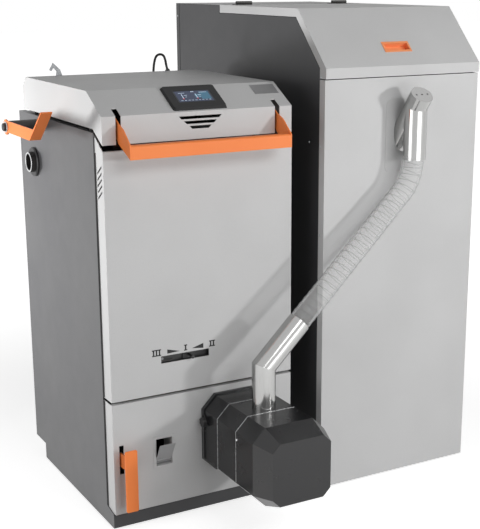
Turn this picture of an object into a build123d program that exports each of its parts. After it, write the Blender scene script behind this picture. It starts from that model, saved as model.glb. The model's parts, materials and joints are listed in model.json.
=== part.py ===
from build123d import *
import math
import os

# Pellet boiler with a hopper beside it. Sizes are in millimetres. X runs to the right,
# Y to the back and Z up from the floor. While it is built, x = 0 is the outside of the
# left panel and y = 0 the front of the plinth; at the end all moves to the middle.

# Sheet and clearances
SHEET = 2.0
THIN = 1.5
FIT = 0.3
RUN = 1.0

# Boiler cabinet
FOOT_H = 6.0
CABINET_W = 606.0
CABINET_D = 699.5
DECK_Z = 1180.0
PLINTH_BACK_GAP = 92.5
PLINTH_TOP = 46.0
TOE_Z = 52.0
TOE_RISE = 9.9
SIDE_FRONT_Y = 50.6
REAR_STEP_Z = 57.7
FLANGE_W = 22.0
RETURN_GAP = 4.4
FOOT_R = 17.0
FOOT_INSET = 40.0
BASE_RIM = 20.0

# Front covers
COVER_GAP = 3.0
COVER_FRONT_Y = -9.4
COVER_FLANGE_D = 62.1
DOOR_Z0 = 52.0
DOOR_TOP = 397.0
PANEL_Z0 = 406.0
PANEL_TOP_DROP = 46.6
LOUVRE_COUNT = 5
LOUVRE_DROP = 108.0
LOUVRE_RISE = 24.0
LOUVRE_Y0 = 3.0
LOUVRE_Y1 = 36.0
LOUVRE_PITCH = 17.6
LOUVRE_H = 7.0

# Air selector above the door
SLOT_X0 = 162.0
SLOT_X1 = 318.5
SLOT_Z0 = 499.6
SLOT_Z1 = 522.0
SELECTOR_X = 257.0
SELECTOR_R = 4.0
SELECTOR_OUT = 16.0

# Boiler body
BODY_GAP = 40.0
BODY_FRONT_Y = 65.0
BODY_BACK_GAP = 87.5
BODY_TOP_DROP = 54.0
JACKET = 48.0
REAR_WALL = 27.0
SHAFT_D = 115.0
DIVIDER = 40.0
MOUTH_TOP = 360.0
FLUE_DROP = 180.0
FLUE_R = 75.0
FLUE_WALL = 3.0
FLUE_STEP = 1.5
FLUE_OUT = 70.0
WATER_OUT = 20.0
COVER_LAP = 18.0
BEARING_T = 12.0
SHAFT_FIT = 0.05
LATCH_PIN_X0 = 24.0
LATCH_PIN_Y = 76.0
LATCH_PIN_Z = 235.0
LATCH_PIN_R = 4.0
PIPE_COLLAR_T = 8.0
PIPE_R = 25.5
PIPE_WALL = 6.5
PIPE_OUT = 21.0
PIPE_BACK_GAP = 133.5
PIPE_DROP = 149.0
PIPE_COLLAR_R = 46.0
WATER_Z = 200.0
WATER_R = 16.0

# Hood
HOOD_FRONT_Y = -7.8
HOOD_LIP_DROP = 28.7
HOOD_SIDE_GAP = 10.0
HOOD_SIDE_Y = 59.4
HOOD_EDGE_H = 49.6
HOOD_SLOPE_RISE = 61.8
HOOD_TOP_Y = 100.0
HOOD_REAR_GAP = 40.3
HOOD_REAR_CHAMFER = 31.6
HOOD_REAR_H = 13.3
HOOD_RIM = 14.0
VENT_H = 8.5
VENT_PITCH = 14.0
VENT_DROP = 12.1
VENT_LENGTHS = (136.0, 104.0, 70.0)
HINGE_R = 6.0
HOOD_HINGE_GAP = 27.5
HOOD_HINGE_INSET = 90.0

# Hood handle
HANDLE_INSET = 50.0
HANDLE_T = 4.0
HANDLE_REACH = 165.0
HANDLE_BAR_DROP = 75.0
HANDLE_BAR_H = 39.0
HANDLE_FLANGE = 20.0
HANDLE_BEND_R = 8.0
HANDLE_PIVOT_Y = 75.0
HANDLE_PIVOT_H = 53.0
HANDLE_PIN_R = 5.0
HANDLE_SLOT_W = 16.0
HANDLE_SLOT_Y = 23.5
HANDLE_SLOT_H = 67.5

# Touch panel on the slope of the hood
TOUCH_W = 171.0
TOUCH_L = 112.0
TOUCH_T = 8.0
TOUCH_CORNER_R = 7.0
TOUCH_TAPER = 4.0
SCREEN_W = 116.0
SCREEN_L = 54.0

# Hook plate and cable behind the hood
HOOK_X = 116.0
HOOK_W = 22.0
HOOK_H = 60.0
CABLE_R = 4.0
CABLE_REACH = 43.0
CABLE_SETBACK = 26.0
GLAND_L = 22.0
GLAND_INSET = 96.0

# Cleaning lever on the left side
LEVER_BACK_GAP = 181.5
LEVER_DROP = 28.0
LEVER_SHAFT_R = 18.5
LEVER_X = -102.0
LEVER_T = 4.5
LEVER_LOW_L = 224.3
LEVER_HIGH_L = 275.0
LEVER_UP = 20.0
LEVER_DOWN = 15.0
LEVER_HUB_R = 23.5
LEVER_STUB_R = 9.0
LEVER_CAP_R = 12.5
LEVER_CAP_OUT = 10.0
GRIP_W = 34.0
GRIP_L = 144.0

# Door, its pivot, handle and air flap
DOOR_PIVOT_INSET = 10.0
DOOR_PIVOT_Y = 22.0
DOOR_PIVOT_R = 5.0
SLAB_BACK_Y = 50.0
DOOR_HANDLE_Y = 12.0
DOOR_HANDLE_Z = 225.0
DOOR_HANDLE_PIN_R = 4.0
DOOR_GRIP_Y = -56.0
DOOR_GRIP_Z0 = 74.6
DOOR_GRIP_Z1 = 267.0
DOOR_GRIP_X0 = 20.0
DOOR_GRIP_X1 = 58.0
SLAB_LAP = 22.0
SEAL_W = 14.0
HANDLE_SLOT_X = 28.0
HANDLE_SLOT_HALF = 7.0
HANDLE_SLOT_Z0 = 179.0
HANDLE_SLOT_Z1 = 269.0
AIR_X0 = 138.0
AIR_X1 = 190.5
AIR_Z0 = 180.5
AIR_Z1 = 266.0
AIR_RIM = 9.0
FLAP_PIVOT_Y = -4.6
FLAP_PIVOT_Z = 196.2
FLAP_UP = 67.0
FLAP_DOWN = 14.0
FLAP_TILT = 29.0

# Burner on the door
BURNER_INSET = 193.0
BURNER_Z = 254.0
BURNER_W = 236.0
BURNER_H = 238.0
BURNER_CHAMFER = 40.0
BURNER_WALL = 2.0
BURNER_FLANGE_T = 10.6
BURNER_FLANGE_EXTRA = 5.0
BURNER_Y1 = -105.0
BURNER_Y2 = -220.0
BURNER_Y3 = -321.0
BURNER_Y4 = -395.0
BURNER_NOSE_W = 190.0
BURNER_NOSE_H = 189.0
BURNER_NOSE_CHAMFER = 24.0
SEAM = 3.0
SEAM_PROUD = 0.4
FIRE_TUBE_R = 75.0
FIRE_TUBE_WALL = 4.0
FIRE_TUBE_Y = 250.0
CHUTE_R = 38.0
CHUTE_WALL = 2.5
FAN_R = 70.0
FAN_W = 24.0
FAN_BLADES = 16
KNOB_Y = -34.0
KNOB_Z = 301.0
KNOB_R = 15.0

# Pellet feed
TUBE_R = 35.0
TUBE_WALL = 2.0
DROP_Y = -175.0
DROP_MITRE_Z = 498.0
FEED_RISE = 42.0
DROP_ARM = 171.0
HOSE_GAP = 0.4
HOSE_WALL = 3.0
HOSE_RIB = 1.6
HOSE_PITCH = 23.0
HOSE_BEND_R = 110.0
CUFF_L = 70.0
SPOUT_Y = -125.5
SPOUT_Z = 1057.0
AUGER_TILT = 36.0
AUGER_Z = 1217.0
AUGER_TOP_Z = 1256.0
AUGER_END_Z = 250.0
AUGER_R = 30.0
AUGER_CORE_R = 9.0
AUGER_PITCH = 60.0
END_PLATE_T = 4.0
END_HOLE_R = 2.8
END_HOLE_GAP = 20.0
END_BOSS_R = 14.0
END_BOSS_L = 12.0

# Hopper
HOPPER_GAP = 78.6
HOPPER_W = 573.0
HOPPER_FRONT_Y = -63.6
HOPPER_FLANGE_D = 30.0
HOPPER_BACK_Y = 949.0
HOPPER_BACK_FLANGE = 24.0
HOPPER_TOP_Z = 1505.0
HOPPER_BASE_TOP = 46.0
SEAM_GAP = 3.0
LAP = 26.0
LID_GAP = 1.5
HINGE_HALF = 14.0
HINGE_EAR = 15.0
HINGE_PIN_R = 3.0
LID_FRONT_Y = -68.0
LID_LIP_Z0 = 1306.0
LID_LIP_Z1 = 1337.0
LID_FOLD_Y = 95.0
LID_BACK_Y = 606.0
LID_FLANGE = 25.0
LID_HINGE_W = 63.0
LID_HINGE_INSET = 62.0
FUNNEL_TOP = 900.0
FUNNEL_OUT_Z = 430.0
FUNNEL_OUT_Y0 = 394.0
FUNNEL_OUT_Y1 = 600.0
FUNNEL_OUT_W = 100.0
TROUGH_Z = 330.0
COVER_PLATE_W = 131.0
COVER_PLATE_Z0 = 1011.0
COVER_PLATE_Z1 = 1236.0
COVER_PLATE_R = 20.0

# Places from the back of the cabinet and down or up from its deck
PLINTH_D = CABINET_D - PLINTH_BACK_GAP
BODY_BACK_Y = CABINET_D - BODY_BACK_GAP
SHAFT_BACK_Y = BODY_BACK_Y - REAR_WALL
SHAFT_FRONT_Y = SHAFT_BACK_Y - SHAFT_D
CHAMBER_BACK_Y = SHAFT_FRONT_Y - DIVIDER
LEVER_Y = CABINET_D - LEVER_BACK_GAP
PIPE_Y = CABINET_D - PIPE_BACK_GAP
HOOD_REAR_Y = CABINET_D - HOOD_REAR_GAP
HOOD_REAR_TOP_Y = HOOD_REAR_Y - HOOD_REAR_CHAMFER
HOOD_HINGE_Y = CABINET_D - HOOD_HINGE_GAP
BODY_TOP = DECK_Z - BODY_TOP_DROP
FLUE_Z = DECK_Z - FLUE_DROP
PIPE_Z = DECK_Z - PIPE_DROP
LEVER_Z = DECK_Z - LEVER_DROP
PANEL_FRONT_TOP = DECK_Z - PANEL_TOP_DROP
PANEL_BACK_TOP = DECK_Z - 2 * SHEET
HOOD_LIP_Z = DECK_Z - HOOD_LIP_DROP
HOOD_SIDE_Z = DECK_Z + HOOD_SIDE_GAP
HOOD_EDGE_Z = DECK_Z + HOOD_EDGE_H
HOOD_TOP_Z = HOOD_EDGE_Z + HOOD_SLOPE_RISE
HOOD_REAR_EDGE_Z = HOOD_TOP_Z - HOOD_REAR_CHAMFER
HOOD_REAR_Z = DECK_Z + HOOD_REAR_H
HANDLE_PIVOT_Z = DECK_Z + HANDLE_PIVOT_H
HANDLE_BAR_Z1 = HANDLE_PIVOT_Z - HANDLE_BAR_DROP
HANDLE_BAR_Z0 = HANDLE_BAR_Z1 - HANDLE_BAR_H
HANDLE_BAR_Y = HANDLE_PIVOT_Y - HANDLE_REACH

# Places across the cabinet
HANDLE_X0 = HANDLE_INSET
HANDLE_X1 = CABINET_W - HANDLE_INSET
GLAND_X = CABINET_W - GLAND_INSET
BURNER_X = CABINET_W - BURNER_INSET
COVER_X0 = COVER_GAP
COVER_X1 = CABINET_W - COVER_GAP
COVER_BACK_Y = COVER_FRONT_Y + COVER_FLANGE_D
RETURN_Y = SIDE_FRONT_Y + RETURN_GAP
BODY_X0 = BODY_GAP + SHEET
BODY_X1 = CABINET_W - BODY_GAP - SHEET
HOPPER_X0 = CABINET_W + HOPPER_GAP
HOPPER_X1 = HOPPER_X0 + HOPPER_W
HOPPER_X = (HOPPER_X0 + HOPPER_X1) / 2
AUGER_SLOPE = math.tan(math.radians(AUGER_TILT))
DOOR_PIVOT_X = COVER_X1 - DOOR_PIVOT_INSET
LID_SIDE_Y = HOPPER_FRONT_Y + HOPPER_FLANGE_D
FEED_DIR = Vector(HOPPER_X - BURNER_X, SPOUT_Y - DROP_Y, 0)
FEED_RUN = FEED_DIR.length
FEED_HEAD = FEED_DIR.normalized()
FEED_TAN = math.tan(math.radians(FEED_RISE))

NODES = {}


def slab(x0, x1, y0, y1, z0, z1):
    """A block between two corners."""
    middle = Pos((x0 + x1) / 2, (y0 + y1) / 2, (z0 + z1) / 2)
    return middle * Box(x1 - x0, y1 - y0, z1 - z0)


def side_shape(points, x0, x1):
    """A plate with its outline in Y and Z, from one X to another."""
    outline = make_face(Polyline(*[(x0, y, z) for y, z in points], close=True))
    return extrude(outline, amount=x1 - x0, dir=(1, 0, 0))


def front_shape(points, y0, y1):
    """A plate with its outline in X and Z, from one Y to another."""
    outline = make_face(Polyline(*[(x, y0, z) for x, z in points], close=True))
    return extrude(outline, amount=y1 - y0, dir=(0, 1, 0))


def rod(start, end, radius):
    """A round bar from one point to another."""
    start = Vector(*start)
    run = Vector(*end) - start
    along = Plane(origin=start, z_dir=run)
    return along * Cylinder(radius, run.length, align=(Align.CENTER, Align.CENTER, Align.MIN))


def pipe(start, end, radius, wall):
    """A round tube from one point to another."""
    return rod(start, end, radius) - rod(start, end, radius - wall)


def mirror_x(shape, middle):
    """The same shape on the other side of a plane across X."""
    return mirror(shape, Plane(origin=(middle, 0, 0), z_dir=(1, 0, 0)))


def offset_line(points, distance):
    """The open outline moved inwards, to the right of its run."""
    moved = []
    count = len(points)
    for i in range(count):
        here = Vector(*points[i])
        before = Vector(*points[max(i - 1, 0)])
        after = Vector(*points[min(i + 1, count - 1)])
        into = (here - before) if i > 0 else (after - here)
        out = (after - here) if i < count - 1 else into
        into = into.normalized()
        out = out.normalized()
        normal_in = Vector(into.Y, -into.X)
        normal_out = Vector(out.Y, -out.X)
        half = (normal_in + normal_out).normalized()
        reach = distance / half.dot(normal_in)
        moved.append((here.X + half.X * reach, here.Y + half.Y * reach))
    return moved


def octagon(width, height, chamfer, middle_x, middle_z):
    """The eight corners of a chamfered box, in X and Z."""
    w = width / 2
    h = height / 2
    corners = [(-w, -h + chamfer), (-w + chamfer, -h), (w - chamfer, -h), (w, -h + chamfer),
               (w, h - chamfer), (w - chamfer, h), (-w + chamfer, h), (-w, h - chamfer)]
    return [(middle_x + x, middle_z + z) for x, z in corners]


# Boiler cabinet

def side_panel():
    """The left side panel: a plate with flanges turned in at the front, top and back."""
    outline = [(0, FOOT_H), (PLINTH_D, FOOT_H), (PLINTH_D, REAR_STEP_Z), (CABINET_D, REAR_STEP_Z),
               (CABINET_D, DECK_Z), (SIDE_FRONT_Y, DECK_Z), (SIDE_FRONT_Y, TOE_Z + TOE_RISE), (0, TOE_Z)]
    panel = side_shape(outline, 0, SHEET)
    panel += slab(SHEET, FLANGE_W, SIDE_FRONT_Y, CABINET_D, DECK_Z - SHEET, DECK_Z)
    panel += slab(SHEET, FLANGE_W, CABINET_D - SHEET, CABINET_D, REAR_STEP_Z, DECK_Z)
    panel += slab(SHEET, FLANGE_W, RETURN_Y, RETURN_Y + SHEET, TOE_Z + TOE_RISE, DECK_Z - 2 * SHEET - FIT)
    return panel


def make_cabinet():
    plinth = slab(SHEET, CABINET_W - SHEET, 0, PLINTH_D, FOOT_H, PLINTH_TOP)
    plinth -= rod((DOOR_PIVOT_X, DOOR_PIVOT_Y, PLINTH_TOP - 10), (DOOR_PIVOT_X, DOOR_PIVOT_Y, PLINTH_TOP + 1),
                  DOOR_PIVOT_R + FIT)
    # The boiler body closes the hollow of the plinth from above.
    plinth -= slab(BODY_X0 + BASE_RIM, BODY_X1 - BASE_RIM, BODY_FRONT_Y + BASE_RIM, PLINTH_D - 2 * BASE_RIM,
                   FOOT_H + 2 * SHEET, PLINTH_TOP + 1)
    NODES["boiler_plinth"] = plinth
    feet = []
    for x0, x1, y0, y1 in ((0, CABINET_W, 0, PLINTH_D), (HOPPER_X0, HOPPER_X1, HOPPER_FRONT_Y, HOPPER_BACK_Y)):
        for x in (x0 + FOOT_INSET, x1 - FOOT_INSET):
            for y in (y0 + FOOT_INSET, y1 - FOOT_INSET):
                feet.append(rod((x, y, 0), (x, y, FOOT_H), FOOT_R))
    NODES["levelling_feet"] = Compound(feet)

    left = side_panel()
    right = mirror_x(left, CABINET_W / 2)
    shaft_hole = rod((-1, LEVER_Y, LEVER_Z), (SHEET + 1, LEVER_Y, LEVER_Z), LEVER_SHAFT_R + RUN)
    pipe_hole = rod((-1, PIPE_Y, PIPE_Z), (SHEET + 1, PIPE_Y, PIPE_Z), PIPE_R + PIPE_WALL + FIT)
    NODES["left_side_panel"] = left - shaft_hole - pipe_hole
    # The right panel stops below the door, whose pivot edge swings out over it.
    toe = slab(CABINET_W - SHEET - 1, CABINET_W + 1, -1, SIDE_FRONT_Y + 12, DOOR_Z0 - RUN, TOE_Z + TOE_RISE + 1)
    NODES["right_side_panel"] = right - toe

    back = slab(COVER_X0, COVER_X1, CABINET_D - 2 * SHEET, CABINET_D - SHEET, REAR_STEP_Z, DECK_Z - 2 * SHEET)
    back += slab(COVER_X0, COVER_X1, BODY_BACK_Y + FIT, CABINET_D - SHEET, REAR_STEP_Z, REAR_STEP_Z + SHEET)
    # The flue has a square cut-out, so that the panel lifts off over the collar.
    x, z, r = back_openings()[0]
    half = r + FIT
    back -= slab(x - half, x + half, CABINET_D - 3 * SHEET, CABINET_D, z - half, z + half)
    for x, z, r in back_openings()[1:]:
        back -= rod((x, CABINET_D - 3 * SHEET, z), (x, CABINET_D, z), r + FIT)
    NODES["back_panel"] = back

    deck = slab(COVER_X0, COVER_X1, RETURN_Y, CABINET_D - 2 * SHEET, DECK_Z - 2 * SHEET, DECK_Z - SHEET)
    deck -= slab(BODY_X0 + 20, BODY_X1 - 20, BODY_FRONT_Y + 15, BODY_BACK_Y - 10, DECK_Z - 9, DECK_Z)
    NODES["top_deck"] = deck


def back_openings():
    """Where the flue and the two water pipes pass the back panel: x, z, radius."""
    middle = CABINET_W / 2
    side = (BODY_X1 - BODY_X0) / 2 - 60
    return [(middle, FLUE_Z, FLUE_R + FLUE_WALL + FLUE_STEP),
            (middle - side, WATER_Z, WATER_R + 6),
            (middle + side, WATER_Z, WATER_R + 6)]


def make_body():
    body = slab(BODY_X0, BODY_X1, BODY_FRONT_Y, BODY_BACK_Y, PLINTH_TOP, BODY_TOP)
    x0 = BODY_X0 + JACKET
    x1 = BODY_X1 - JACKET
    floor_z = PLINTH_TOP + JACKET
    body -= slab(x0, x1, BODY_FRONT_Y + JACKET, CHAMBER_BACK_Y, floor_z, BODY_TOP + 1)
    body -= slab(x0, x1, BODY_FRONT_Y - 1, BODY_FRONT_Y + JACKET, floor_z, MOUTH_TOP)
    body -= slab(x0, x1, SHAFT_FRONT_Y, SHAFT_BACK_Y, floor_z + JACKET, BODY_TOP + 1)
    body -= slab(x0, x1, CHAMBER_BACK_Y - 1, SHAFT_FRONT_Y + 1, floor_z + JACKET, floor_z + 4 * JACKET)
    middle = CABINET_W / 2
    body -= rod((middle, SHAFT_BACK_Y - 1, FLUE_Z), (middle, BODY_BACK_Y + 1, FLUE_Z), FLUE_R)

    for x, z, r in back_openings()[1:]:
        body -= rod((x, BODY_BACK_Y - 40, z), (x, BODY_BACK_Y + 1, z), WATER_R)

    # The shaft bearings are welded on.
    for x in bearing_places():
        block = slab(x, x + BEARING_T, LEVER_Y - 32, LEVER_Y + 32, BODY_TOP, LEVER_Z + LEVER_SHAFT_R + 5)
        body += block
        body -= rod((x - 1, LEVER_Y, LEVER_Z), (x + BEARING_T + 1, LEVER_Y, LEVER_Z), LEVER_SHAFT_R + SHAFT_FIT)
    NODES["boiler_body"] = body

    back_y = BODY_BACK_Y + FIT
    # A thicker root makes the shoulder that the flue pipe is pushed up to.
    spigot_r = FLUE_R + FLUE_WALL
    collar = rod((middle, back_y, FLUE_Z), (middle, CABINET_D + FLUE_OUT, FLUE_Z), spigot_r)
    collar += rod((middle, back_y, FLUE_Z), (middle, CABINET_D, FLUE_Z), spigot_r + FLUE_STEP)
    NODES["flue_collar"] = collar - rod((middle, back_y - 1, FLUE_Z), (middle, CABINET_D + FLUE_OUT + 1, FLUE_Z), FLUE_R)
    sockets = []
    for x, z, r in back_openings()[1:]:
        sockets.append(pipe((x, back_y, z), (x, CABINET_D + WATER_OUT, z), r, r - WATER_R))
    NODES["water_sockets"] = Compound(sockets)
    NODES["side_pipe"] = pipe((-PIPE_OUT, PIPE_Y, PIPE_Z), (BODY_X0, PIPE_Y, PIPE_Z), PIPE_R + PIPE_WALL, PIPE_WALL)
    collar = rod((-PIPE_COLLAR_T, PIPE_Y, PIPE_Z), (0, PIPE_Y, PIPE_Z), PIPE_COLLAR_R)
    collar = chamfer(collar.edges().group_by(Axis.X)[0], 3)
    collar -= rod((-PIPE_COLLAR_T - 1, PIPE_Y, PIPE_Z), (1, PIPE_Y, PIPE_Z), PIPE_R + PIPE_WALL + FIT)
    NODES["side_pipe_collar"] = collar

    # One insulated cover closes the fire chamber, with a thin tail over the exchanger.
    lap = COVER_LAP
    thick = slab(x0 - lap, x1 + lap, BODY_FRONT_Y + JACKET - lap, CHAMBER_BACK_Y + 14, BODY_TOP, BODY_TOP + 26)
    thick = fillet(thick.edges().filter_by(Axis.Z), 12)
    tail = slab(x0 - lap, x1 + lap, CHAMBER_BACK_Y - 20, SHAFT_BACK_Y + 14, BODY_TOP, BODY_TOP + 5)
    cover = thick + tail
    y = (BODY_FRONT_Y + JACKET + CHAMBER_BACK_Y) / 2
    for x in (x0 + 60, x1 - 60):
        cover += rod((x, y, BODY_TOP + 20), (x, y, BODY_TOP + 44), 6)
        cover += slab(x - 22, x + 22, y - 4, y + 4, BODY_TOP + 40, BODY_TOP + 54)
    NODES["body_cover"] = cover


def bearing_places():
    """The near face in X of each bearing of the cleaning shaft."""
    return (BODY_X0 + 10, BODY_X1 - 10 - BEARING_T)


def make_cleaning_lever():
    """The lever turns the shaft, which runs over the exchanger between two bearings."""
    inner_x = bearing_places()[1] + BEARING_T + 3
    shaft = rod((LEVER_X + LEVER_T, LEVER_Y, LEVER_Z), (inner_x, LEVER_Y, LEVER_Z), LEVER_SHAFT_R)
    stub = rod((LEVER_X - 2, LEVER_Y, LEVER_Z), (LEVER_X + LEVER_T, LEVER_Y, LEVER_Z), LEVER_STUB_R)
    NODES["cleaning_shaft"] = shaft + stub
    # The arm runs forward from the hub; its slanted front edge is folded into the grip.
    low_y = LEVER_Y - LEVER_LOW_L
    fold_z0 = LEVER_Z - LEVER_DOWN
    high_y = LEVER_Y - LEVER_HIGH_L
    fold_z1 = LEVER_Z + LEVER_UP + 5
    top_z = LEVER_Z + LEVER_UP
    arm = side_shape([(LEVER_Y, fold_z0), (LEVER_Y, top_z), (high_y + 22, top_z), (high_y, fold_z1),
                      (low_y, fold_z0)], LEVER_X, LEVER_X + LEVER_T)
    arm += rod((LEVER_X, LEVER_Y, LEVER_Z), (LEVER_X + LEVER_T, LEVER_Y, LEVER_Z), LEVER_HUB_R)
    along = Vector(0, high_y - low_y, fold_z1 - fold_z0).normalized()
    normal = Vector(0, along.Z, -along.Y)
    foot = Vector(0, low_y, fold_z0)
    tip = foot + along * GRIP_L
    grip_points = [foot, tip, tip + normal * LEVER_T, foot + normal * LEVER_T]
    grip = side_shape([(p.Y, p.Z) for p in grip_points], LEVER_X, LEVER_X + GRIP_W)
    lever = arm + grip
    lever -= rod((LEVER_X - 1, LEVER_Y, LEVER_Z), (LEVER_X + LEVER_T + 1, LEVER_Y, LEVER_Z), LEVER_STUB_R)
    NODES["cleaning_lever"] = lever
    cap = rod((LEVER_X - LEVER_CAP_OUT, LEVER_Y, LEVER_Z), (LEVER_X, LEVER_Y, LEVER_Z), LEVER_CAP_R)
    cap -= rod((LEVER_X - 2, LEVER_Y, LEVER_Z), (LEVER_X, LEVER_Y, LEVER_Z), LEVER_STUB_R)
    NODES["lever_cap"] = chamfer(cap.edges().group_by(Axis.X)[0], 2)


# Front panel and air selector

def wrap_panel(z0, front_top, back_top, back_y):
    """A front cover: a plate with side flanges turned back and short top and bottom flanges."""
    profile = [(COVER_FRONT_Y, z0), (COVER_FRONT_Y, front_top), (back_y, back_top), (back_y, z0)]
    skin = side_shape(profile, COVER_X0, COVER_X1)
    inner = [(COVER_FRONT_Y + SHEET, z0 - 1), (COVER_FRONT_Y + SHEET, back_top + 50), (back_y + 1, back_top + 50),
             (back_y + 1, z0 - 1)]
    skin -= side_shape(inner, COVER_X0 + SHEET, COVER_X1 - SHEET)
    edge_y = COVER_FRONT_Y + 16
    skin += slab(COVER_X0, COVER_X1, COVER_FRONT_Y, edge_y, z0, z0 + SHEET)
    return skin, edge_y


def make_front_panel():
    back_y = RETURN_Y - FIT
    panel, edge_y = wrap_panel(PANEL_Z0, PANEL_FRONT_TOP, PANEL_BACK_TOP, back_y)
    panel += slab(COVER_X0, COVER_X1, COVER_FRONT_Y, edge_y, PANEL_FRONT_TOP - SHEET, PANEL_FRONT_TOP)
    panel -= slab(SLOT_X0, SLOT_X1, COVER_FRONT_Y - 1, COVER_FRONT_Y + SHEET + 1, SLOT_Z0, SLOT_Z1)
    # Louvres in both side flanges, each sloping up towards the front.
    for i in range(LOUVRE_COUNT):
        z = DECK_Z - LOUVRE_DROP - i * LOUVRE_PITCH
        front_z = z + LOUVRE_RISE
        cut = [(LOUVRE_Y1, z - LOUVRE_H), (LOUVRE_Y1, z), (LOUVRE_Y0, front_z), (LOUVRE_Y0, front_z - LOUVRE_H)]
        panel -= side_shape(cut, COVER_X0 - 1, COVER_X1 + 1)
    NODES["upper_front_panel"] = panel

    guide_y = COVER_FRONT_Y + SHEET
    guide = slab(SLOT_X0 - 30, SLOT_X1 + 30, guide_y, guide_y + 16, SLOT_Z0 - 18, SLOT_Z1 + 18)
    guide -= slab(SLOT_X0, SLOT_X1, guide_y - 1, guide_y + 14, SLOT_Z0, SLOT_Z1)
    NODES["selector_guide"] = guide
    z = (SLOT_Z0 + SLOT_Z1) / 2
    slide = slab(SELECTOR_X - 20, SELECTOR_X + 20, guide_y + 9.7, guide_y + 13.7, SLOT_Z0 + FIT, SLOT_Z1 - FIT)
    stem = rod((SELECTOR_X, COVER_FRONT_Y - SELECTOR_OUT, z), (SELECTOR_X, guide_y + 10, z), SELECTOR_R)
    knob = Pos(SELECTOR_X, COVER_FRONT_Y - SELECTOR_OUT, z) * Sphere(SELECTOR_R + 2)
    NODES["selector_lever"] = slide + stem + knob


# Hood

def hood_line():
    """The outline of the hood's skin, from the front lip over the top to the rear edge."""
    return [(HOOD_FRONT_Y, HOOD_LIP_Z), (HOOD_FRONT_Y, HOOD_EDGE_Z), (HOOD_TOP_Y, HOOD_TOP_Z),
            (HOOD_REAR_TOP_Y, HOOD_TOP_Z), (HOOD_REAR_Y, HOOD_REAR_EDGE_Z), (HOOD_REAR_Y, HOOD_REAR_Z)]


def slope_plane(middle_x):
    """A plane on the hood's slope, with Z out of the slope and Y up along it."""
    rise = HOOD_TOP_Z - HOOD_EDGE_Z
    run = HOOD_TOP_Y - HOOD_FRONT_Y
    origin = (middle_x, (HOOD_FRONT_Y + HOOD_TOP_Y) / 2, (HOOD_EDGE_Z + HOOD_TOP_Z) / 2)
    return Plane(origin=origin, x_dir=(1, 0, 0), z_dir=(0, -rise, run))


def make_hood():
    outer = hood_line()
    inner = offset_line(outer, SHEET)
    skirt = [(HOOD_REAR_Y, HOOD_SIDE_Z), (HOOD_SIDE_Y, HOOD_SIDE_Z)]
    solid = side_shape(outer + skirt, COVER_X0, COVER_X1)
    room = [(inner[0][0], HOOD_LIP_Z - 10)] + inner[1:5] + [(inner[5][0], HOOD_LIP_Z - 10)]
    hood = solid - side_shape(room, COVER_X0 + SHEET, COVER_X1 - SHEET)
    rim = [(HOOD_REAR_Y - SHEET, HOOD_SIDE_Z), (HOOD_SIDE_Y, HOOD_SIDE_Z),
           (HOOD_SIDE_Y, HOOD_SIDE_Z + SHEET), (HOOD_REAR_Y - SHEET, HOOD_SIDE_Z + SHEET)]
    left_rim = side_shape(rim, COVER_X0 + SHEET, COVER_X0 + SHEET + HOOD_RIM)
    hood += left_rim
    hood += mirror_x(left_rim, CABINET_W / 2)
    middle = CABINET_W / 2
    for i in range(len(VENT_LENGTHS)):
        half = VENT_LENGTHS[i] / 2
        z = HOOD_EDGE_Z - VENT_DROP - i * VENT_PITCH
        low = z - VENT_H
        cut = [(middle - half + VENT_H, low), (middle + half - VENT_H, low), (middle + half, z), (middle - half, z)]
        hood -= front_shape(cut, HOOD_FRONT_Y - 1, HOOD_FRONT_Y + SHEET + 1)
    # Slots for the arms of the handle, from the slope down through the front.
    for x in arm_places():
        hood -= slab(x - HANDLE_SLOT_W / 2, x + HANDLE_SLOT_W / 2, HOOD_FRONT_Y - 1, HANDLE_SLOT_Y, HOOD_LIP_Z - 1,
                     DECK_Z + HANDLE_SLOT_H)
    NODES["hood_shell"] = hood

    slope = slope_plane(CABINET_W / 2 + 4.5)
    lift = slope.offset(TOUCH_T)
    base = slope * RectangleRounded(TOUCH_W, TOUCH_L, TOUCH_CORNER_R)
    crown = lift * RectangleRounded(TOUCH_W - 2 * TOUCH_TAPER, TOUCH_L - 2 * TOUCH_TAPER, TOUCH_CORNER_R)
    bezel = loft(Sketch() + [base, crown])
    screen_seat = lift.offset(-1.5) * Box(SCREEN_W + 2 * FIT, SCREEN_L + 2 * FIT, 6,
                                          align=(Align.CENTER, Align.CENTER, Align.MIN))
    NODES["touch_panel"] = bezel - screen_seat
    NODES["touch_screen"] = lift.offset(-1.5) * Box(SCREEN_W, SCREEN_L, 1.2,
                                                    align=(Align.CENTER, Align.CENTER, Align.MIN))
    bumpers = []
    for x in (COVER_X0 + SHEET + 7, COVER_X1 - SHEET - 7):
        for y in (90.0, 560.0):
            bumpers.append(rod((x, y, DECK_Z), (x, y, HOOD_SIDE_Z - FIT), 6))
    NODES["hood_bumpers"] = Compound(bumpers)


def slope_inside(y):
    """The height of the slope's inner face."""
    rise = (HOOD_TOP_Z - HOOD_EDGE_Z) / (HOOD_TOP_Y - HOOD_FRONT_Y)
    return HOOD_EDGE_Z + (y - HOOD_FRONT_Y) * rise - SHEET * math.hypot(1, rise)


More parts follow.
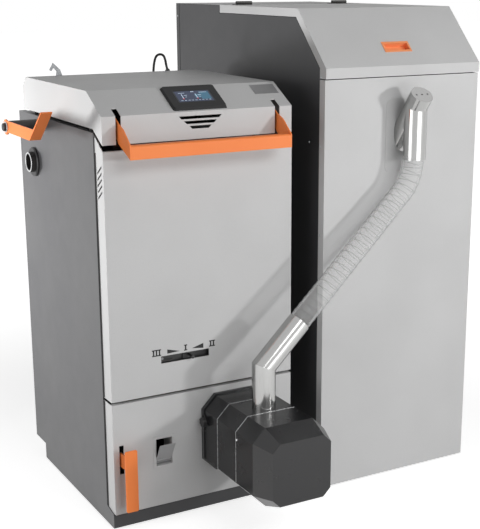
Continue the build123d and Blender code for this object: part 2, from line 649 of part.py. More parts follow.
def make_rear_fittings():
    """A zinc hook plate on the hood's back and a cable that loops from a gland to the deck."""
    x = HOOK_X
    y = HOOD_REAR_Y + FIT
    z = DECK_Z + HOOK_H
    outline = [(x, z), (x + HOOK_W, z), (x + HOOK_W, z + 46), (x + 15, z + 67), (x - 9, z + 90), (x - 22, z + 67),
               (x - 15, z + 63), (x - 8, z + 73), (x + 2, z + 63), (x, z + 46)]
    NODES["hook_plate"] = front_shape(outline, y, y + SHEET)

    chamfer_mid = Vector(GLAND_X, (HOOD_REAR_TOP_Y + HOOD_REAR_Y) / 2, (HOOD_TOP_Z + HOOD_REAR_EDGE_Z) / 2)
    out = Vector(0, HOOD_TOP_Z - HOOD_REAR_EDGE_Z, HOOD_REAR_Y - HOOD_REAR_TOP_Y).normalized()
    face = chamfer_mid + out * FIT
    tip = face + out * GLAND_L
    gland = rod(tuple(face), tuple(face + out * 9), 11)
    gland += rod(tuple(face), tuple(tip), 8)
    gland -= rod(tuple(face - out), tuple(tip + out), CABLE_R + 0.8)
    NODES["cable_gland"] = gland

    # The loop rises from the tip of the gland, turns over and hangs down into the deck.
    hole_x = GLAND_X - CABLE_REACH
    hole_y = tip.Y + CABLE_SETBACK
    loop = [(-3, 11, 42.5), (-14, 14, 53.5), (-33, 15, 49.5), (-41, 16, 26.5), (-43, 20, -6.5), (-43, 24, -41.5)]
    route = [face + out * 2, tip + out * 6] + [tip + Vector(*step) for step in loop]
    route += [Vector(hole_x, hole_y, DECK_Z + 35), Vector(hole_x, hole_y, DECK_Z - 8)]
    path = rounded_route(route)
    section = Plane(origin=path @ 0, z_dir=path % 0) * Circle(CABLE_R)
    NODES["panel_cable"] = sweep(section, path=path)
    NODES["top_deck"] -= rod((hole_x, hole_y, DECK_Z - 20), (hole_x, hole_y, DECK_Z + 1), CABLE_R + FIT)


def rounded_route(points):
    """Straight runs joined by arcs as large as the runs allow."""
    radii = []
    for i in range(1, len(points) - 1):
        run_in = points[i] - points[i - 1]
        run_out = points[i + 1] - points[i]
        half = math.radians(run_in.get_angle(run_out)) / 2
        radii.append(0.45 * min(run_in.length, run_out.length) / math.tan(half))
    print("bend radii", [round(r) for r in radii])
    return FilletPolyline(*points, radius=radii)


def butt_hinge(x, y, z):
    """One hinge along X: the middle knuckle, and the pin pressed into two outer knuckles."""
    wall = HINGE_R - HINGE_PIN_R - SHAFT_FIT
    middle = pipe((x - HINGE_HALF, y, z), (x + HINGE_HALF, y, z), HINGE_R, wall)
    outer = []
    for side in (-1, 1):
        near = x + side * (HINGE_HALF + 0.5)
        far = near + side * HINGE_EAR
        outer.append((min(near, far), max(near, far), rod((near, y, z), (far, y, z), HINGE_R)))
    end = HINGE_HALF + HINGE_EAR + 1
    return middle, outer, rod((x - end, y, z), (x + end, y, z), HINGE_PIN_R)


def make_hinges():
    """The hood turns at the back of the deck and the lid on top of the hopper."""
    hood_leaves = []
    lid_leaves = []
    fixed = []
    y = HOOD_HINGE_Y
    z = DECK_Z + HINGE_R + 4
    clear = HINGE_PIN_R + 1
    for x in (HOOD_HINGE_INSET, CABINET_W - HOOD_HINGE_INSET):
        middle, outer, pin = butt_hinge(x, y, z)
        x0 = x - HINGE_HALF
        x1 = x + HINGE_HALF
        leaf = slab(x0, x1, HOOD_REAR_Y, HOOD_REAR_Y + SHEET, HOOD_REAR_Z + 2, HOOD_REAR_Z + 40)
        leaf += slab(x0, x1, HOOD_REAR_Y, y - clear, z + clear, z + clear + SHEET)
        leaf += slab(x0, x1, y - clear, y, z + clear, z + HINGE_R)
        hood_leaves.append(leaf + middle)
        for x0, x1, ear in outer:
            foot = slab(x0, x1, y - 2, y + 22, DECK_Z - SHEET, DECK_Z)
            pin += ear + foot + slab(x0, x1, y - 2, y + 2, DECK_Z - SHEET, z - clear)
        fixed.append(pin)
    y = LID_BACK_Y
    z = HOPPER_TOP_Z + HINGE_R
    inset = LID_HINGE_INSET + LID_HINGE_W / 2
    for x in (HOPPER_X0 + inset, HOPPER_X1 - inset):
        middle, outer, pin = butt_hinge(x, y, z)
        leaf = slab(x - HINGE_HALF, x + HINGE_HALF, y - 30, y - 2, HOPPER_TOP_Z, HOPPER_TOP_Z + SHEET)
        lid_leaves.append(middle + leaf)
        for x0, x1, ear in outer:
            pin += ear + slab(x0, x1, y + 2, y + 30, HOPPER_TOP_Z, HOPPER_TOP_Z + SHEET)
        fixed.append(pin)
    NODES["hood_hinge_leaves"] = Compound(hood_leaves)
    NODES["lid_hinge_leaves"] = Compound(lid_leaves)
    NODES["fixed_hinge_leaves"] = Compound(fixed)


def arm_places():
    """The middle of each handle arm in X."""
    return (HANDLE_X0 + HANDLE_T / 2, HANDLE_X1 - HANDLE_T / 2)


def round_edge(solid, y, z, radius):
    """The solid with its edge along X at this place rounded."""
    line = Vector(0, y, z)
    edges = [e for e in solid.edges().filter_by(Axis.X) if (Vector(0, e.center().Y, e.center().Z) - line).length < 0.01]
    return fillet(edges, radius)


def make_hood_handle():
    """A bent sheet: two arms, a front bar and a flange along the top of the bar."""
    bar_y = HANDLE_BAR_Y
    y = HANDLE_PIVOT_Y
    z = HANDLE_PIVOT_Z
    outline = [(bar_y, HANDLE_BAR_Z0), (bar_y, HANDLE_BAR_Z1), (y - 116, z - 36), (y - 85, z - 24), (y - 20, z + 13),
               (y - 2, z + 13), (y + 12, z + 7), (y + 12, z - 7), (y, z - 13), (y - 45, z - 43), (y - 85, z - 79)]
    arm = side_shape(outline, HANDLE_X0, HANDLE_X0 + HANDLE_T)
    arm = round_edge(arm, bar_y, HANDLE_BAR_Z1, HANDLE_BEND_R)
    handle = arm + mirror_x(arm, (HANDLE_X0 + HANDLE_X1) / 2)
    inner_y = bar_y + HANDLE_T
    inner_z = HANDLE_BAR_Z1 - HANDLE_T
    flange_y = bar_y + HANDLE_FLANGE
    bend = side_shape([(bar_y, HANDLE_BAR_Z0), (bar_y, HANDLE_BAR_Z1), (flange_y, HANDLE_BAR_Z1), (flange_y, inner_z),
                       (inner_y, inner_z), (inner_y, HANDLE_BAR_Z0)], HANDLE_X0, HANDLE_X1)
    bend = round_edge(bend, bar_y, HANDLE_BAR_Z1, HANDLE_BEND_R)
    handle += round_edge(bend, inner_y, inner_z, HANDLE_BEND_R - HANDLE_T)
    pivots = []
    for x, inward in ((HANDLE_X0, 1), (HANDLE_X1, -1)):
        near = x + inward * (HANDLE_T + RUN)
        far = near + inward * 4
        outline = [(y - 15, z - 15), (y - 15, slope_inside(y - 15) - FIT), (y + 15, slope_inside(y + 15) - FIT),
                   (y + 15, z - 15)]
        plate = side_shape(outline, min(near, far), max(near, far))
        pivots.append(plate + rod((x - inward * 2, y, z), (far, y, z), HANDLE_PIN_R))
    NODES["handle_pivots"] = Compound(pivots)
    NODES["hood_handle"] = handle - rod((0, y, z), (CABINET_W, y, z), HANDLE_PIN_R + SHAFT_FIT)


# Lower door

def air_sleeve(extra):
    """The block that the sleeve of the air opening fills, with room round it."""
    return slab(AIR_X0 - extra, AIR_X1 + extra, COVER_FRONT_Y - 20, SLAB_BACK_Y + 20, AIR_Z0 - extra, AIR_Z1 + extra)


def make_door():
    panel, edge_y = wrap_panel(DOOR_Z0, DOOR_TOP, DOOR_TOP, COVER_BACK_Y)
    panel += slab(COVER_X0, COVER_X1, COVER_FRONT_Y, edge_y, DOOR_TOP - SHEET, DOOR_TOP)
    for z in (DOOR_Z0, DOOR_TOP - SHEET):
        ear = slab(DOOR_PIVOT_X - 16, COVER_X1, COVER_FRONT_Y, DOOR_PIVOT_Y + 14, z, z + SHEET)
        panel += ear
        panel -= rod((DOOR_PIVOT_X, DOOR_PIVOT_Y, z - 1), (DOOR_PIVOT_X, DOOR_PIVOT_Y, z + SHEET + 1),
                     DOOR_PIVOT_R + SHAFT_FIT)
    panel -= slab(HANDLE_SLOT_X - HANDLE_SLOT_HALF, HANDLE_SLOT_X + HANDLE_SLOT_HALF, COVER_FRONT_Y - 1,
                  COVER_FRONT_Y + SHEET + 1, HANDLE_SLOT_Z0, HANDLE_SLOT_Z1)
    fire_hole = rod((BURNER_X, COVER_FRONT_Y - 20, BURNER_Z), (BURNER_X, SLAB_BACK_Y + 1, BURNER_Z),
                    FIRE_TUBE_R + FIT)
    panel -= air_sleeve(THIN + FIT)
    panel -= fire_hole
    NODES["lower_door_panel"] = panel

    x0 = BODY_X0 + JACKET - SLAB_LAP
    x1 = BODY_X1 - JACKET + SLAB_LAP
    z0 = PLINTH_TOP + JACKET - SLAB_LAP
    z1 = MOUTH_TOP + SLAB_LAP
    inner_face = COVER_FRONT_Y + SHEET
    slab_body = slab(x0, x1, inner_face, SLAB_BACK_Y, z0, z1)
    slab_body -= air_sleeve(THIN + FIT)
    slab_body -= fire_hole
    # A pocket each side of the sleeve leaves room for the ends of the flap's axle.
    slab_body -= slab(AIR_X0 - 8, AIR_X1 + 8, inner_face - 1, 4, FLAP_PIVOT_Z - 8, FLAP_PIVOT_Z + 8)
    NODES["door_slab"] = slab_body
    seal = slab(x0 + 2, x1 - 2, SLAB_BACK_Y, BODY_FRONT_Y - FIT, z0 + 2, z1 - 2)
    seal -= slab(x0 + 2 + SEAL_W, x1 - 2 - SEAL_W, SLAB_BACK_Y - 1, BODY_FRONT_Y, z0 + 2 + SEAL_W, z1 - 2 - SEAL_W)
    NODES["door_seal"] = seal

    # The lower pivot stands in the plinth under a collar; the upper one hangs from a bracket.
    x = DOOR_PIVOT_X
    y = DOOR_PIVOT_Y
    lower = rod((x, y, PLINTH_TOP - 9), (x, y, DOOR_Z0 + SHEET + 6), DOOR_PIVOT_R)
    lower += rod((x, y, PLINTH_TOP), (x, y, DOOR_Z0 - 0.1), DOOR_PIVOT_R + 5)
    upper = rod((x, y, DOOR_TOP - SHEET - 6), (x, y, DOOR_TOP + 3), DOOR_PIVOT_R)
    upper += slab(x - 12, x + 7, y - 10, RETURN_Y - SHEET, DOOR_TOP + 2, DOOR_TOP + 5)
    upper += slab(x - 6, x + 7, RETURN_Y - SHEET, RETURN_Y, DOOR_TOP + 2, DOOR_TOP + 40)
    # The pin that the latch hooks under stands on the side of the body.
    latch = rod((LATCH_PIN_X0, LATCH_PIN_Y, LATCH_PIN_Z), (BODY_X0, LATCH_PIN_Y, LATCH_PIN_Z), LATCH_PIN_R)
    NODES["door_pins"] = Compound([lower, upper, latch])

    rim = slab(AIR_X0 - AIR_RIM, AIR_X1 + AIR_RIM, COVER_FRONT_Y - THIN, COVER_FRONT_Y, AIR_Z0 - AIR_RIM, AIR_Z1 + AIR_RIM)
    sleeve = slab(AIR_X0 - THIN, AIR_X1 + THIN, COVER_FRONT_Y - THIN, SLAB_BACK_Y, AIR_Z0 - THIN, AIR_Z1 + THIN)
    frame = rim + sleeve - air_sleeve(0)
    frame -= rod((AIR_X0 - 9, FLAP_PIVOT_Y, FLAP_PIVOT_Z), (AIR_X1 + 9, FLAP_PIVOT_Y, FLAP_PIVOT_Z), 2.5 + SHAFT_FIT)
    NODES["air_frame"] = frame
    flap = slab(AIR_X0 + RUN, AIR_X1 - RUN, -THIN / 2, THIN / 2, -FLAP_DOWN, FLAP_UP)
    flap += rod((AIR_X0 - 5, 0, 0), (AIR_X1 + 5, 0, 0), 2.5)
    NODES["air_flap"] = Pos(0, FLAP_PIVOT_Y, FLAP_PIVOT_Z) * Rot(FLAP_TILT, 0, 0) * flap


def make_door_handle():
    """A flat arm through the slot, a grip plate in front and a hook that swings under the latch pin."""
    x = HANDLE_SLOT_X
    y = DOOR_HANDLE_Y
    z = DOOR_HANDLE_Z
    hook_z = LATCH_PIN_Z - LATCH_PIN_R - RUN
    hook_y = LATCH_PIN_Y - 6
    outline = [(DOOR_GRIP_Y + 2, z - 19), (DOOR_GRIP_Y + 2, z + 23), (y - 12, z + 18), (y + 18, z + 7),
               (hook_y, hook_z), (hook_y, hook_z - 8), (hook_y + 12, hook_z - 8), (hook_y + 12, hook_z),
               (hook_y + 18, hook_z), (hook_y + 18, hook_z - 18), (y + 18, z - 11), (y - 12, z - 25)]
    arm = side_shape(outline, x - 2, x + 2)
    grip = slab(DOOR_GRIP_X0, DOOR_GRIP_X1, DOOR_GRIP_Y, DOOR_GRIP_Y + 4, DOOR_GRIP_Z0, DOOR_GRIP_Z1)
    grip = fillet(grip.edges().filter_by(Axis.Y), 5)
    handle = arm + grip
    handle -= rod((x - 10, y, z), (x + 10, y, z), DOOR_HANDLE_PIN_R + SHAFT_FIT)
    NODES["door_handle"] = handle
    bracket = rod((x - 10, y, z), (x + 10, y, z), DOOR_HANDLE_PIN_R)
    for side in (-1, 1):
        near = x + side * 7
        far = x + side * 10
        bracket += slab(min(near, far), max(near, far), COVER_FRONT_Y + SHEET, y + 8, z - 13, z + 13)
    NODES["lower_door_panel"] += bracket


# Burner

def octagon_block(y0, y1, inset):
    """The burner's outline, moved in by a wall, from one Y to another."""
    size = BURNER_W - 2 * inset
    height = BURNER_H - 2 * inset
    corner = BURNER_CHAMFER - inset * (2 - math.sqrt(2))
    return front_shape(octagon(size, height, corner, BURNER_X, BURNER_Z), y0, y1)


def make_burner():
    flange_y = COVER_FRONT_Y - BURNER_FLANGE_T
    flange = octagon_block(flange_y, COVER_FRONT_Y, -BURNER_FLANGE_EXTRA)
    flange -= rod((BURNER_X, flange_y - 1, BURNER_Z), (BURNER_X, COVER_FRONT_Y + 1, BURNER_Z), FIRE_TUBE_R + FIT)
    flange = chamfer(flange.edges().group_by(Axis.Y)[0].filter_by(GeomType.LINE), 1.5)
    NODES["burner_flange"] = flange

    seam = SEAM / 2
    rear = octagon_block(BURNER_Y1 + seam, flange_y, 0) - octagon_block(BURNER_Y1, flange_y + 1, BURNER_WALL)
    left_x = BURNER_X - BURNER_W / 2
    lug = side_shape([(flange_y, KNOB_Z - 22), (flange_y, KNOB_Z + 22), (flange_y - 32, KNOB_Z)], left_x - 3, left_x)
    rear += lug
    rear -= rod((left_x - 5, KNOB_Y, KNOB_Z), (left_x + 5, KNOB_Y, KNOB_Z), 4 + SHAFT_FIT)
    NODES["burner_rear_case"] = rear
    knob = rod((left_x - 17, KNOB_Y, KNOB_Z), (left_x - 5, KNOB_Y, KNOB_Z), KNOB_R)
    for i in range(8):
        turn = math.radians(45 * i)
        y = KNOB_Y + KNOB_R * math.cos(turn)
        z = KNOB_Z + KNOB_R * math.sin(turn)
        knob -= rod((left_x - 18, y, z), (left_x - 4, y, z), 3)
    knob += rod((left_x - 5, KNOB_Y, KNOB_Z), (left_x + 6, KNOB_Y, KNOB_Z), 4)
    NODES["burner_knob"] = knob

    mid = octagon_block(BURNER_Y2 + seam, BURNER_Y1 - seam, 0)
    mid -= octagon_block(BURNER_Y2, BURNER_Y1, BURNER_WALL)
    mid -= rod((BURNER_X, DROP_Y, BURNER_Z), (BURNER_X, DROP_Y, BURNER_Z + BURNER_H), TUBE_R + FIT)
    NODES["burner_mid_case"] = mid

    nose = octagon(BURNER_NOSE_W, BURNER_NOSE_H, BURNER_NOSE_CHAMFER, BURNER_X, BURNER_Z)
    front = octagon_block(BURNER_Y3, BURNER_Y2 - seam, 0)
    front += tapered(octagon(BURNER_W, BURNER_H, BURNER_CHAMFER, BURNER_X, BURNER_Z), BURNER_Y3, nose, BURNER_Y4)
    wall = BURNER_WALL
    corner = wall * (2 - math.sqrt(2))
    inner = octagon(BURNER_W - 2 * wall, BURNER_H - 2 * wall, BURNER_CHAMFER - corner, BURNER_X, BURNER_Z)
    inner_nose = octagon(BURNER_NOSE_W - 2 * wall, BURNER_NOSE_H - 2 * wall, BURNER_NOSE_CHAMFER - corner,
                         BURNER_X, BURNER_Z)
    front -= octagon_block(BURNER_Y3, BURNER_Y2, wall)
    front -= tapered(inner, BURNER_Y3, inner_nose, BURNER_Y4 + wall)
    NODES["burner_front_case"] = front

    # A plate at each seam holds the cases together and shows as a bright line.
    chute = make_chute()
    plates = []
    for y in (BURNER_Y1, BURNER_Y2):
        plate = octagon_block(y - seam, y + seam, -SEAM_PROUD)
        if y == BURNER_Y1:
            plate -= rod((BURNER_X, y - 5, BURNER_Z), (BURNER_X, y + 5, BURNER_Z), 100)
        plates.append(plate)
    NODES["burner_plates"] = Compound(plates)

    fire = pipe((BURNER_X, flange_y, BURNER_Z), (BURNER_X, FIRE_TUBE_Y, BURNER_Z), FIRE_TUBE_R, FIRE_TUBE_WALL)
    grate_z = BURNER_Z - 45
    half = math.sqrt((FIRE_TUBE_R - 2) ** 2 - 45 ** 2)
    grate = slab(BURNER_X - half, BURNER_X + half, SLAB_BACK_Y + 10, FIRE_TUBE_Y - 4, grate_z, grate_z + 4)
    slots = 7
    for i in range(slots):
        x = BURNER_X + (i - (slots - 1) / 2) * 14
        grate -= slab(x - 3, x + 3, SLAB_BACK_Y + 30, FIRE_TUBE_Y - 24, grate_z - 1, grate_z + 5)
    NODES["burner_tube"] = fire + grate
    NODES["pellet_chute"] = chute

    motor_y = BURNER_Y2 - seam
    motor = rod((BURNER_X, motor_y - 40, BURNER_Z), (BURNER_X, motor_y, BURNER_Z), 32)
    motor += rod((BURNER_X, motor_y - 70, BURNER_Z), (BURNER_X, motor_y - 40, BURNER_Z), 4)
    NODES["fan_motor"] = motor
    wheel_y = motor_y - 44
    wheel = rod((BURNER_X, wheel_y - 2, BURNER_Z), (BURNER_X, wheel_y, BURNER_Z), FAN_R)
    wheel += rod((BURNER_X, wheel_y - FAN_W, BURNER_Z), (BURNER_X, wheel_y, BURNER_Z), 10)
    for i in range(FAN_BLADES):
        blade = slab(FAN_R * 0.6, FAN_R - 1, wheel_y - FAN_W, wheel_y, -0.8, 0.8)
        wheel += Pos(BURNER_X, 0, BURNER_Z) * Rot(0, 360 * i / FAN_BLADES, 0) * blade
    wheel -= rod((BURNER_X, wheel_y - FAN_W - 1, BURNER_Z), (BURNER_X, wheel_y + 1, BURNER_Z), 4 + SHAFT_FIT)
    NODES["fan_wheel"] = wheel


def tapered(points_a, y_a, points_b, y_b):
    """A solid that runs from one outline in X and Z to another."""
    first = make_face(Polyline(*[(x, y_a, z) for x, z in points_a], close=True))
    second = make_face(Polyline(*[(x, y_b, z) for x, z in points_b], close=True))
    return loft(Sketch() + [first, second], ruled=True)


def make_chute():
    """The chute takes pellets from the drop tube and leads them down into the fire tube."""
    top = (BURNER_X, DROP_Y, BURNER_Z + BURNER_H / 2 - BURNER_WALL - 6)
    bend = (BURNER_X, DROP_Y, BURNER_Z + 40)
    end = (BURNER_X, COVER_FRONT_Y + 4, BURNER_Z - 10)
    return bent_tube([top, bend, end], CHUTE_R, CHUTE_WALL)


def bent_tube(points, radius, wall):
    """A round tube with mitred bends."""
    line = Polyline(*points)
    start = Plane(origin=line @ 0, z_dir=line % 0)
    outer = sweep(start * Circle(radius), path=line, transition=Transition.RIGHT)
    inner = sweep(start * Circle(radius - wall), path=line, transition=Transition.RIGHT)
    return outer - inner


# Pellet feed

def feed_point(run, z):
    """A point over the line from the drop tube to the spout."""
    return Vector(BURNER_X, DROP_Y, z) + FEED_HEAD * run


def auger_point(z):
    """A point on the axis of the auger."""
    return Vector(HOPPER_X, SPOUT_Y + (AUGER_Z - z) * AUGER_SLOPE, z)


def make_feed():
    seat_z = BURNER_Z + 50
    rise = Vector(FEED_HEAD.X, FEED_HEAD.Y, FEED_TAN).normalized()
    mitre = feed_point(0, DROP_MITRE_Z)
    arm_end = mitre + rise * DROP_ARM
    NODES["drop_tube"] = bent_tube([feed_point(0, seat_z), mitre, arm_end], TUBE_R, TUBE_WALL)

    # Hose: straight cuffs inside both tubes, a straight climb and one bend up to the spout.
    corner = feed_point(FEED_RUN, DROP_MITRE_Z + FEED_RUN * FEED_TAN)
    start = arm_end - rise * CUFF_L
    end = Vector(HOPPER_X, SPOUT_Y, SPOUT_Z + CUFF_L)
    path = FilletPolyline(start, corner, end, radius=HOSE_BEND_R)
    cuff_r = TUBE_R - TUBE_WALL - HOSE_GAP
    bore_r = cuff_r - HOSE_WALL
    rib_r = cuff_r + HOSE_RIB
    steady = Vector(-FEED_HEAD.Y, FEED_HEAD.X, 0)
    first = CUFF_L + 3
    last = path.length - CUFF_L - 3
    count = round((last - first) / HOSE_PITCH)
    pitch = (last - first) / count
    rings = [(0, cuff_r)]
    for i in range(count):
        at = first + i * pitch
        rings += [(at, cuff_r), (at + 0.2 * pitch, rib_r), (at + 0.45 * pitch, rib_r), (at + 0.65 * pitch, cuff_r)]
    rings.append((path.length, cuff_r))
    circles = []
    for at, radius in rings:
        here = Plane(origin=path.position_at(at / path.length), x_dir=steady, z_dir=path.tangent_at(at / path.length))
        circles.append(here * Circle(radius))
    skin = loft(Sketch() + circles, ruled=True)
    bore = sweep(Plane(origin=path @ 0, x_dir=steady, z_dir=path % 0) * Circle(bore_r), path=path)
    NODES["pellet_hose"] = skin - bore
    print("hose length", round(path.length), "ribs", count)

    # Feeder tube with its spout and end plate, welded together.
    top = auger_point(AUGER_TOP_Z)
    low = auger_point(AUGER_END_Z)
    axis = (low - top).normalized()
    tube = rod(tuple(top), tuple(low), TUBE_R)
    tube += rod((HOPPER_X, SPOUT_Y, SPOUT_Z), (HOPPER_X, SPOUT_Y, AUGER_Z), TUBE_R)
    tube -= rod(tuple(top + axis * END_PLATE_T), tuple(low + axis), TUBE_R - TUBE_WALL)
    tube -= rod((HOPPER_X, SPOUT_Y, SPOUT_Z - 1), (HOPPER_X, SPOUT_Y, AUGER_Z), TUBE_R - TUBE_WALL)
    across = Plane(origin=top, x_dir=(1, 0, 0), z_dir=axis)
    # The auger's end turns in a boss on the inside of the end plate.
    inside = across * Pos(0, 0, END_PLATE_T)
    tube += inside * Cylinder(END_BOSS_R, END_BOSS_L, align=(Align.CENTER, Align.CENTER, Align.MIN))
    tube -= inside * Cylinder(AUGER_CORE_R + SHAFT_FIT, END_BOSS_L + 1, align=(Align.CENTER, Align.CENTER, Align.MIN))
    for i in (-1, 0, 1):
        tube -= across * Pos(i * END_HOLE_GAP, 0, 0) * Cylinder(END_HOLE_R, 2 * END_PLATE_T + 1)
    up = Vector(0, math.cos(math.radians(AUGER_TILT)), math.sin(math.radians(AUGER_TILT)))
    intake = Plane(origin=auger_point((TROUGH_Z + FUNNEL_OUT_Z) / 2 + 6), x_dir=(1, 0, 0), z_dir=up)
    tube -= intake * Pos(0, 0, 12) * Box(52, 100, 60, align=(Align.CENTER, Align.CENTER, Align.MIN))
    NODES["feeder_tube"] = tube

    length = (low - top).length
    core = rod(tuple(top + axis * (END_PLATE_T + RUN)), tuple(low + axis * 25), AUGER_CORE_R)
    flight_at = Plane(origin=top + axis * 20, x_dir=(1, 0, 0), z_dir=axis)
    NODES["auger_screw"] = core + flight_at * screw_flight(AUGER_CORE_R, AUGER_R, AUGER_PITCH, length - 40)

    drive = Plane(origin=low, x_dir=(1, 0, 0), z_dir=axis)
    gearbox = drive * Box(90, 84, 66, align=(Align.CENTER, Align.CENTER, Align.MIN))
    gearbox += drive * Pos(0, 0, 66) * Cylinder(38, 100, align=(Align.CENTER, Align.CENTER, Align.MIN))
    gearbox -= drive * Cylinder(AUGER_CORE_R + SHAFT_FIT, 56)
    NODES["auger_motor"] = gearbox


def screw_flight(core, outer, pitch, length):
    """A thin helical blade round a shaft."""
    path = Helix(pitch=pitch, height=length, radius=(core + outer) / 2)
    section = Plane(origin=path @ 0, x_dir=(1, 0, 0), z_dir=path % 0) * Rectangle(outer - core + 1, 3)
    return sweep(section, path=path, is_frenet=True)


# Hopper

def lid_line():
    """The outline of the lid's skin, from the front lip over the slope to the hinge."""
    return [(LID_FRONT_Y, LID_LIP_Z0), (LID_FRONT_Y, LID_LIP_Z1), (LID_FOLD_Y, HOPPER_TOP_Z),
            (LID_BACK_Y - RUN, HOPPER_TOP_Z)]


def lid_edge(drop):
    """The lower edge of the lid's side flange, from the hinge to the front corner."""
    inner = offset_line(lid_line(), LID_FLANGE + drop)
    fold = inner[2]
    slope = (HOPPER_TOP_Z - LID_LIP_Z1) / (LID_FOLD_Y - LID_FRONT_Y)
    front_z = fold[1] - (fold[0] - LID_SIDE_Y) * slope
    return [(LID_BACK_Y - RUN, fold[1]), fold, (LID_SIDE_Y, front_z)]


def make_hopper():
    x0 = HOPPER_X0
    x1 = HOPPER_X1
    top = HOPPER_TOP_Z
    back = HOPPER_BACK_Y
    front = HOPPER_FRONT_Y
    side_back = back - HOPPER_BACK_FLANGE - SEAM_GAP
    inner_x0 = x0 + SHEET
    inner_x1 = x1 - SHEET

    base = slab(inner_x0 + SHEET, inner_x1 - SHEET, front + SHEET, back - SHEET, FOOT_H, HOPPER_BASE_TOP)
    base -= slab(inner_x0 + BASE_RIM, inner_x1 - BASE_RIM, front + BASE_RIM, back - BASE_RIM, FOOT_H + 2 * SHEET,
                 HOPPER_BASE_TOP + 1)
    NODES["hopper_base"] = base

    panel_top = LID_LIP_Z0 - SEAM_GAP
    panel = slab(x0, x1, front, front + SHEET, FOOT_H, panel_top)
    panel += slab(x0, x0 + SHEET, front, LID_SIDE_Y, FOOT_H, panel_top)
    panel += slab(x1 - SHEET, x1, front, LID_SIDE_Y, FOOT_H, panel_top)
    hole_top = COVER_PLATE_Z1 - 30
    panel -= slab(HOPPER_X - COVER_PLATE_W / 2 + 20, HOPPER_X + COVER_PLATE_W / 2 - 20, front - 1, front + SHEET + 1,
                  COVER_PLATE_Z0 + 40, hole_top)
    NODES["hopper_front_panel"] = panel

    # Each side panel has a lip inside the front and back flanges that it is screwed to.
    edge = lid_edge(LID_GAP)
    outline = [(LID_SIDE_Y + FIT, FOOT_H), (side_back, FOOT_H), (side_back, top - SHEET - FIT),
               (LID_BACK_Y + RUN, top - SHEET - FIT), (LID_BACK_Y + RUN, edge[0][1]), edge[1],
               (LID_SIDE_Y + FIT, edge[2][1])]
    side = side_shape(outline, x0, x0 + SHEET)
    side += slab(inner_x0, inner_x0 + SHEET, front + SHEET, front + SHEET + HOPPER_FLANGE_D + LAP, FOOT_H, panel_top)
    side += slab(inner_x0, inner_x0 + SHEET, side_back - LAP, back - SHEET, FOOT_H, top - SHEET - FIT)
    NODES["hopper_side_panels"] = Compound([side, mirror_x(side, HOPPER_X)])

    rear = slab(x0, x1, back - SHEET, back, FOOT_H, top)
    rear += slab(x0, x1, LID_BACK_Y + RUN, back, top - SHEET, top)
    rear += slab(x0, x0 + SHEET, back - HOPPER_BACK_FLANGE, back, FOOT_H, top)
    rear += slab(x1 - SHEET, x1, back - HOPPER_BACK_FLANGE, back, FOOT_H, top)
    NODES["hopper_back_panel"] = rear

    plate = slab(HOPPER_X - COVER_PLATE_W / 2, HOPPER_X + COVER_PLATE_W / 2, front - THIN, front,
                 COVER_PLATE_Z0, COVER_PLATE_Z1)
    plate = fillet(plate.edges().filter_by(Axis.Y), COVER_PLATE_R)
    tube_room = rod(tuple(auger_point(AUGER_Z)), tuple(auger_point(AUGER_Z - 200)), TUBE_R + FIT)
    NODES["auger_cover_plate"] = plate - tube_room

    make_funnel(inner_x0 + SHEET + FIT, inner_x1 - SHEET - FIT, front + SHEET + FIT, back - SHEET - FIT)
    make_lid()


def make_funnel(x0, x1, y0, y1):
    """The funnel slopes in on four sides to a trough round the foot of the auger."""
    half = FUNNEL_OUT_W / 2

    def frustum(inset, drop):
        upper = [(x0 + inset, y0 + inset), (x1 - inset, y0 + inset), (x1 - inset, y1 - inset), (x0 + inset, y1 - inset)]
        lower = [(HOPPER_X - half + inset, FUNNEL_OUT_Y0 + inset), (HOPPER_X + half - inset, FUNNEL_OUT_Y0 + inset),
                 (HOPPER_X + half - inset, FUNNEL_OUT_Y1 - inset), (HOPPER_X - half + inset, FUNNEL_OUT_Y1 - inset)]
        top = make_face(Polyline(*[(x, y, FUNNEL_TOP + drop) for x, y in upper], close=True))
        low = make_face(Polyline(*[(x, y, FUNNEL_OUT_Z + drop) for x, y in lower], close=True))
        return loft(Sketch() + [low, top], ruled=True)

    funnel = frustum(0, 0) - frustum(SHEET, 0.01)
    trough = slab(HOPPER_X - half, HOPPER_X + half, FUNNEL_OUT_Y0, FUNNEL_OUT_Y1, TROUGH_Z, FUNNEL_OUT_Z)
    trough -= slab(HOPPER_X - half + SHEET, HOPPER_X + half - SHEET, FUNNEL_OUT_Y0 + SHEET, FUNNEL_OUT_Y1 - SHEET,
                   TROUGH_Z + SHEET, FUNNEL_OUT_Z + 1)
    funnel += trough
    funnel -= rod(tuple(auger_point(AUGER_Z)), tuple(auger_point(AUGER_END_Z - 50)), TUBE_R + FIT)
    NODES["pellet_funnel"] = funnel


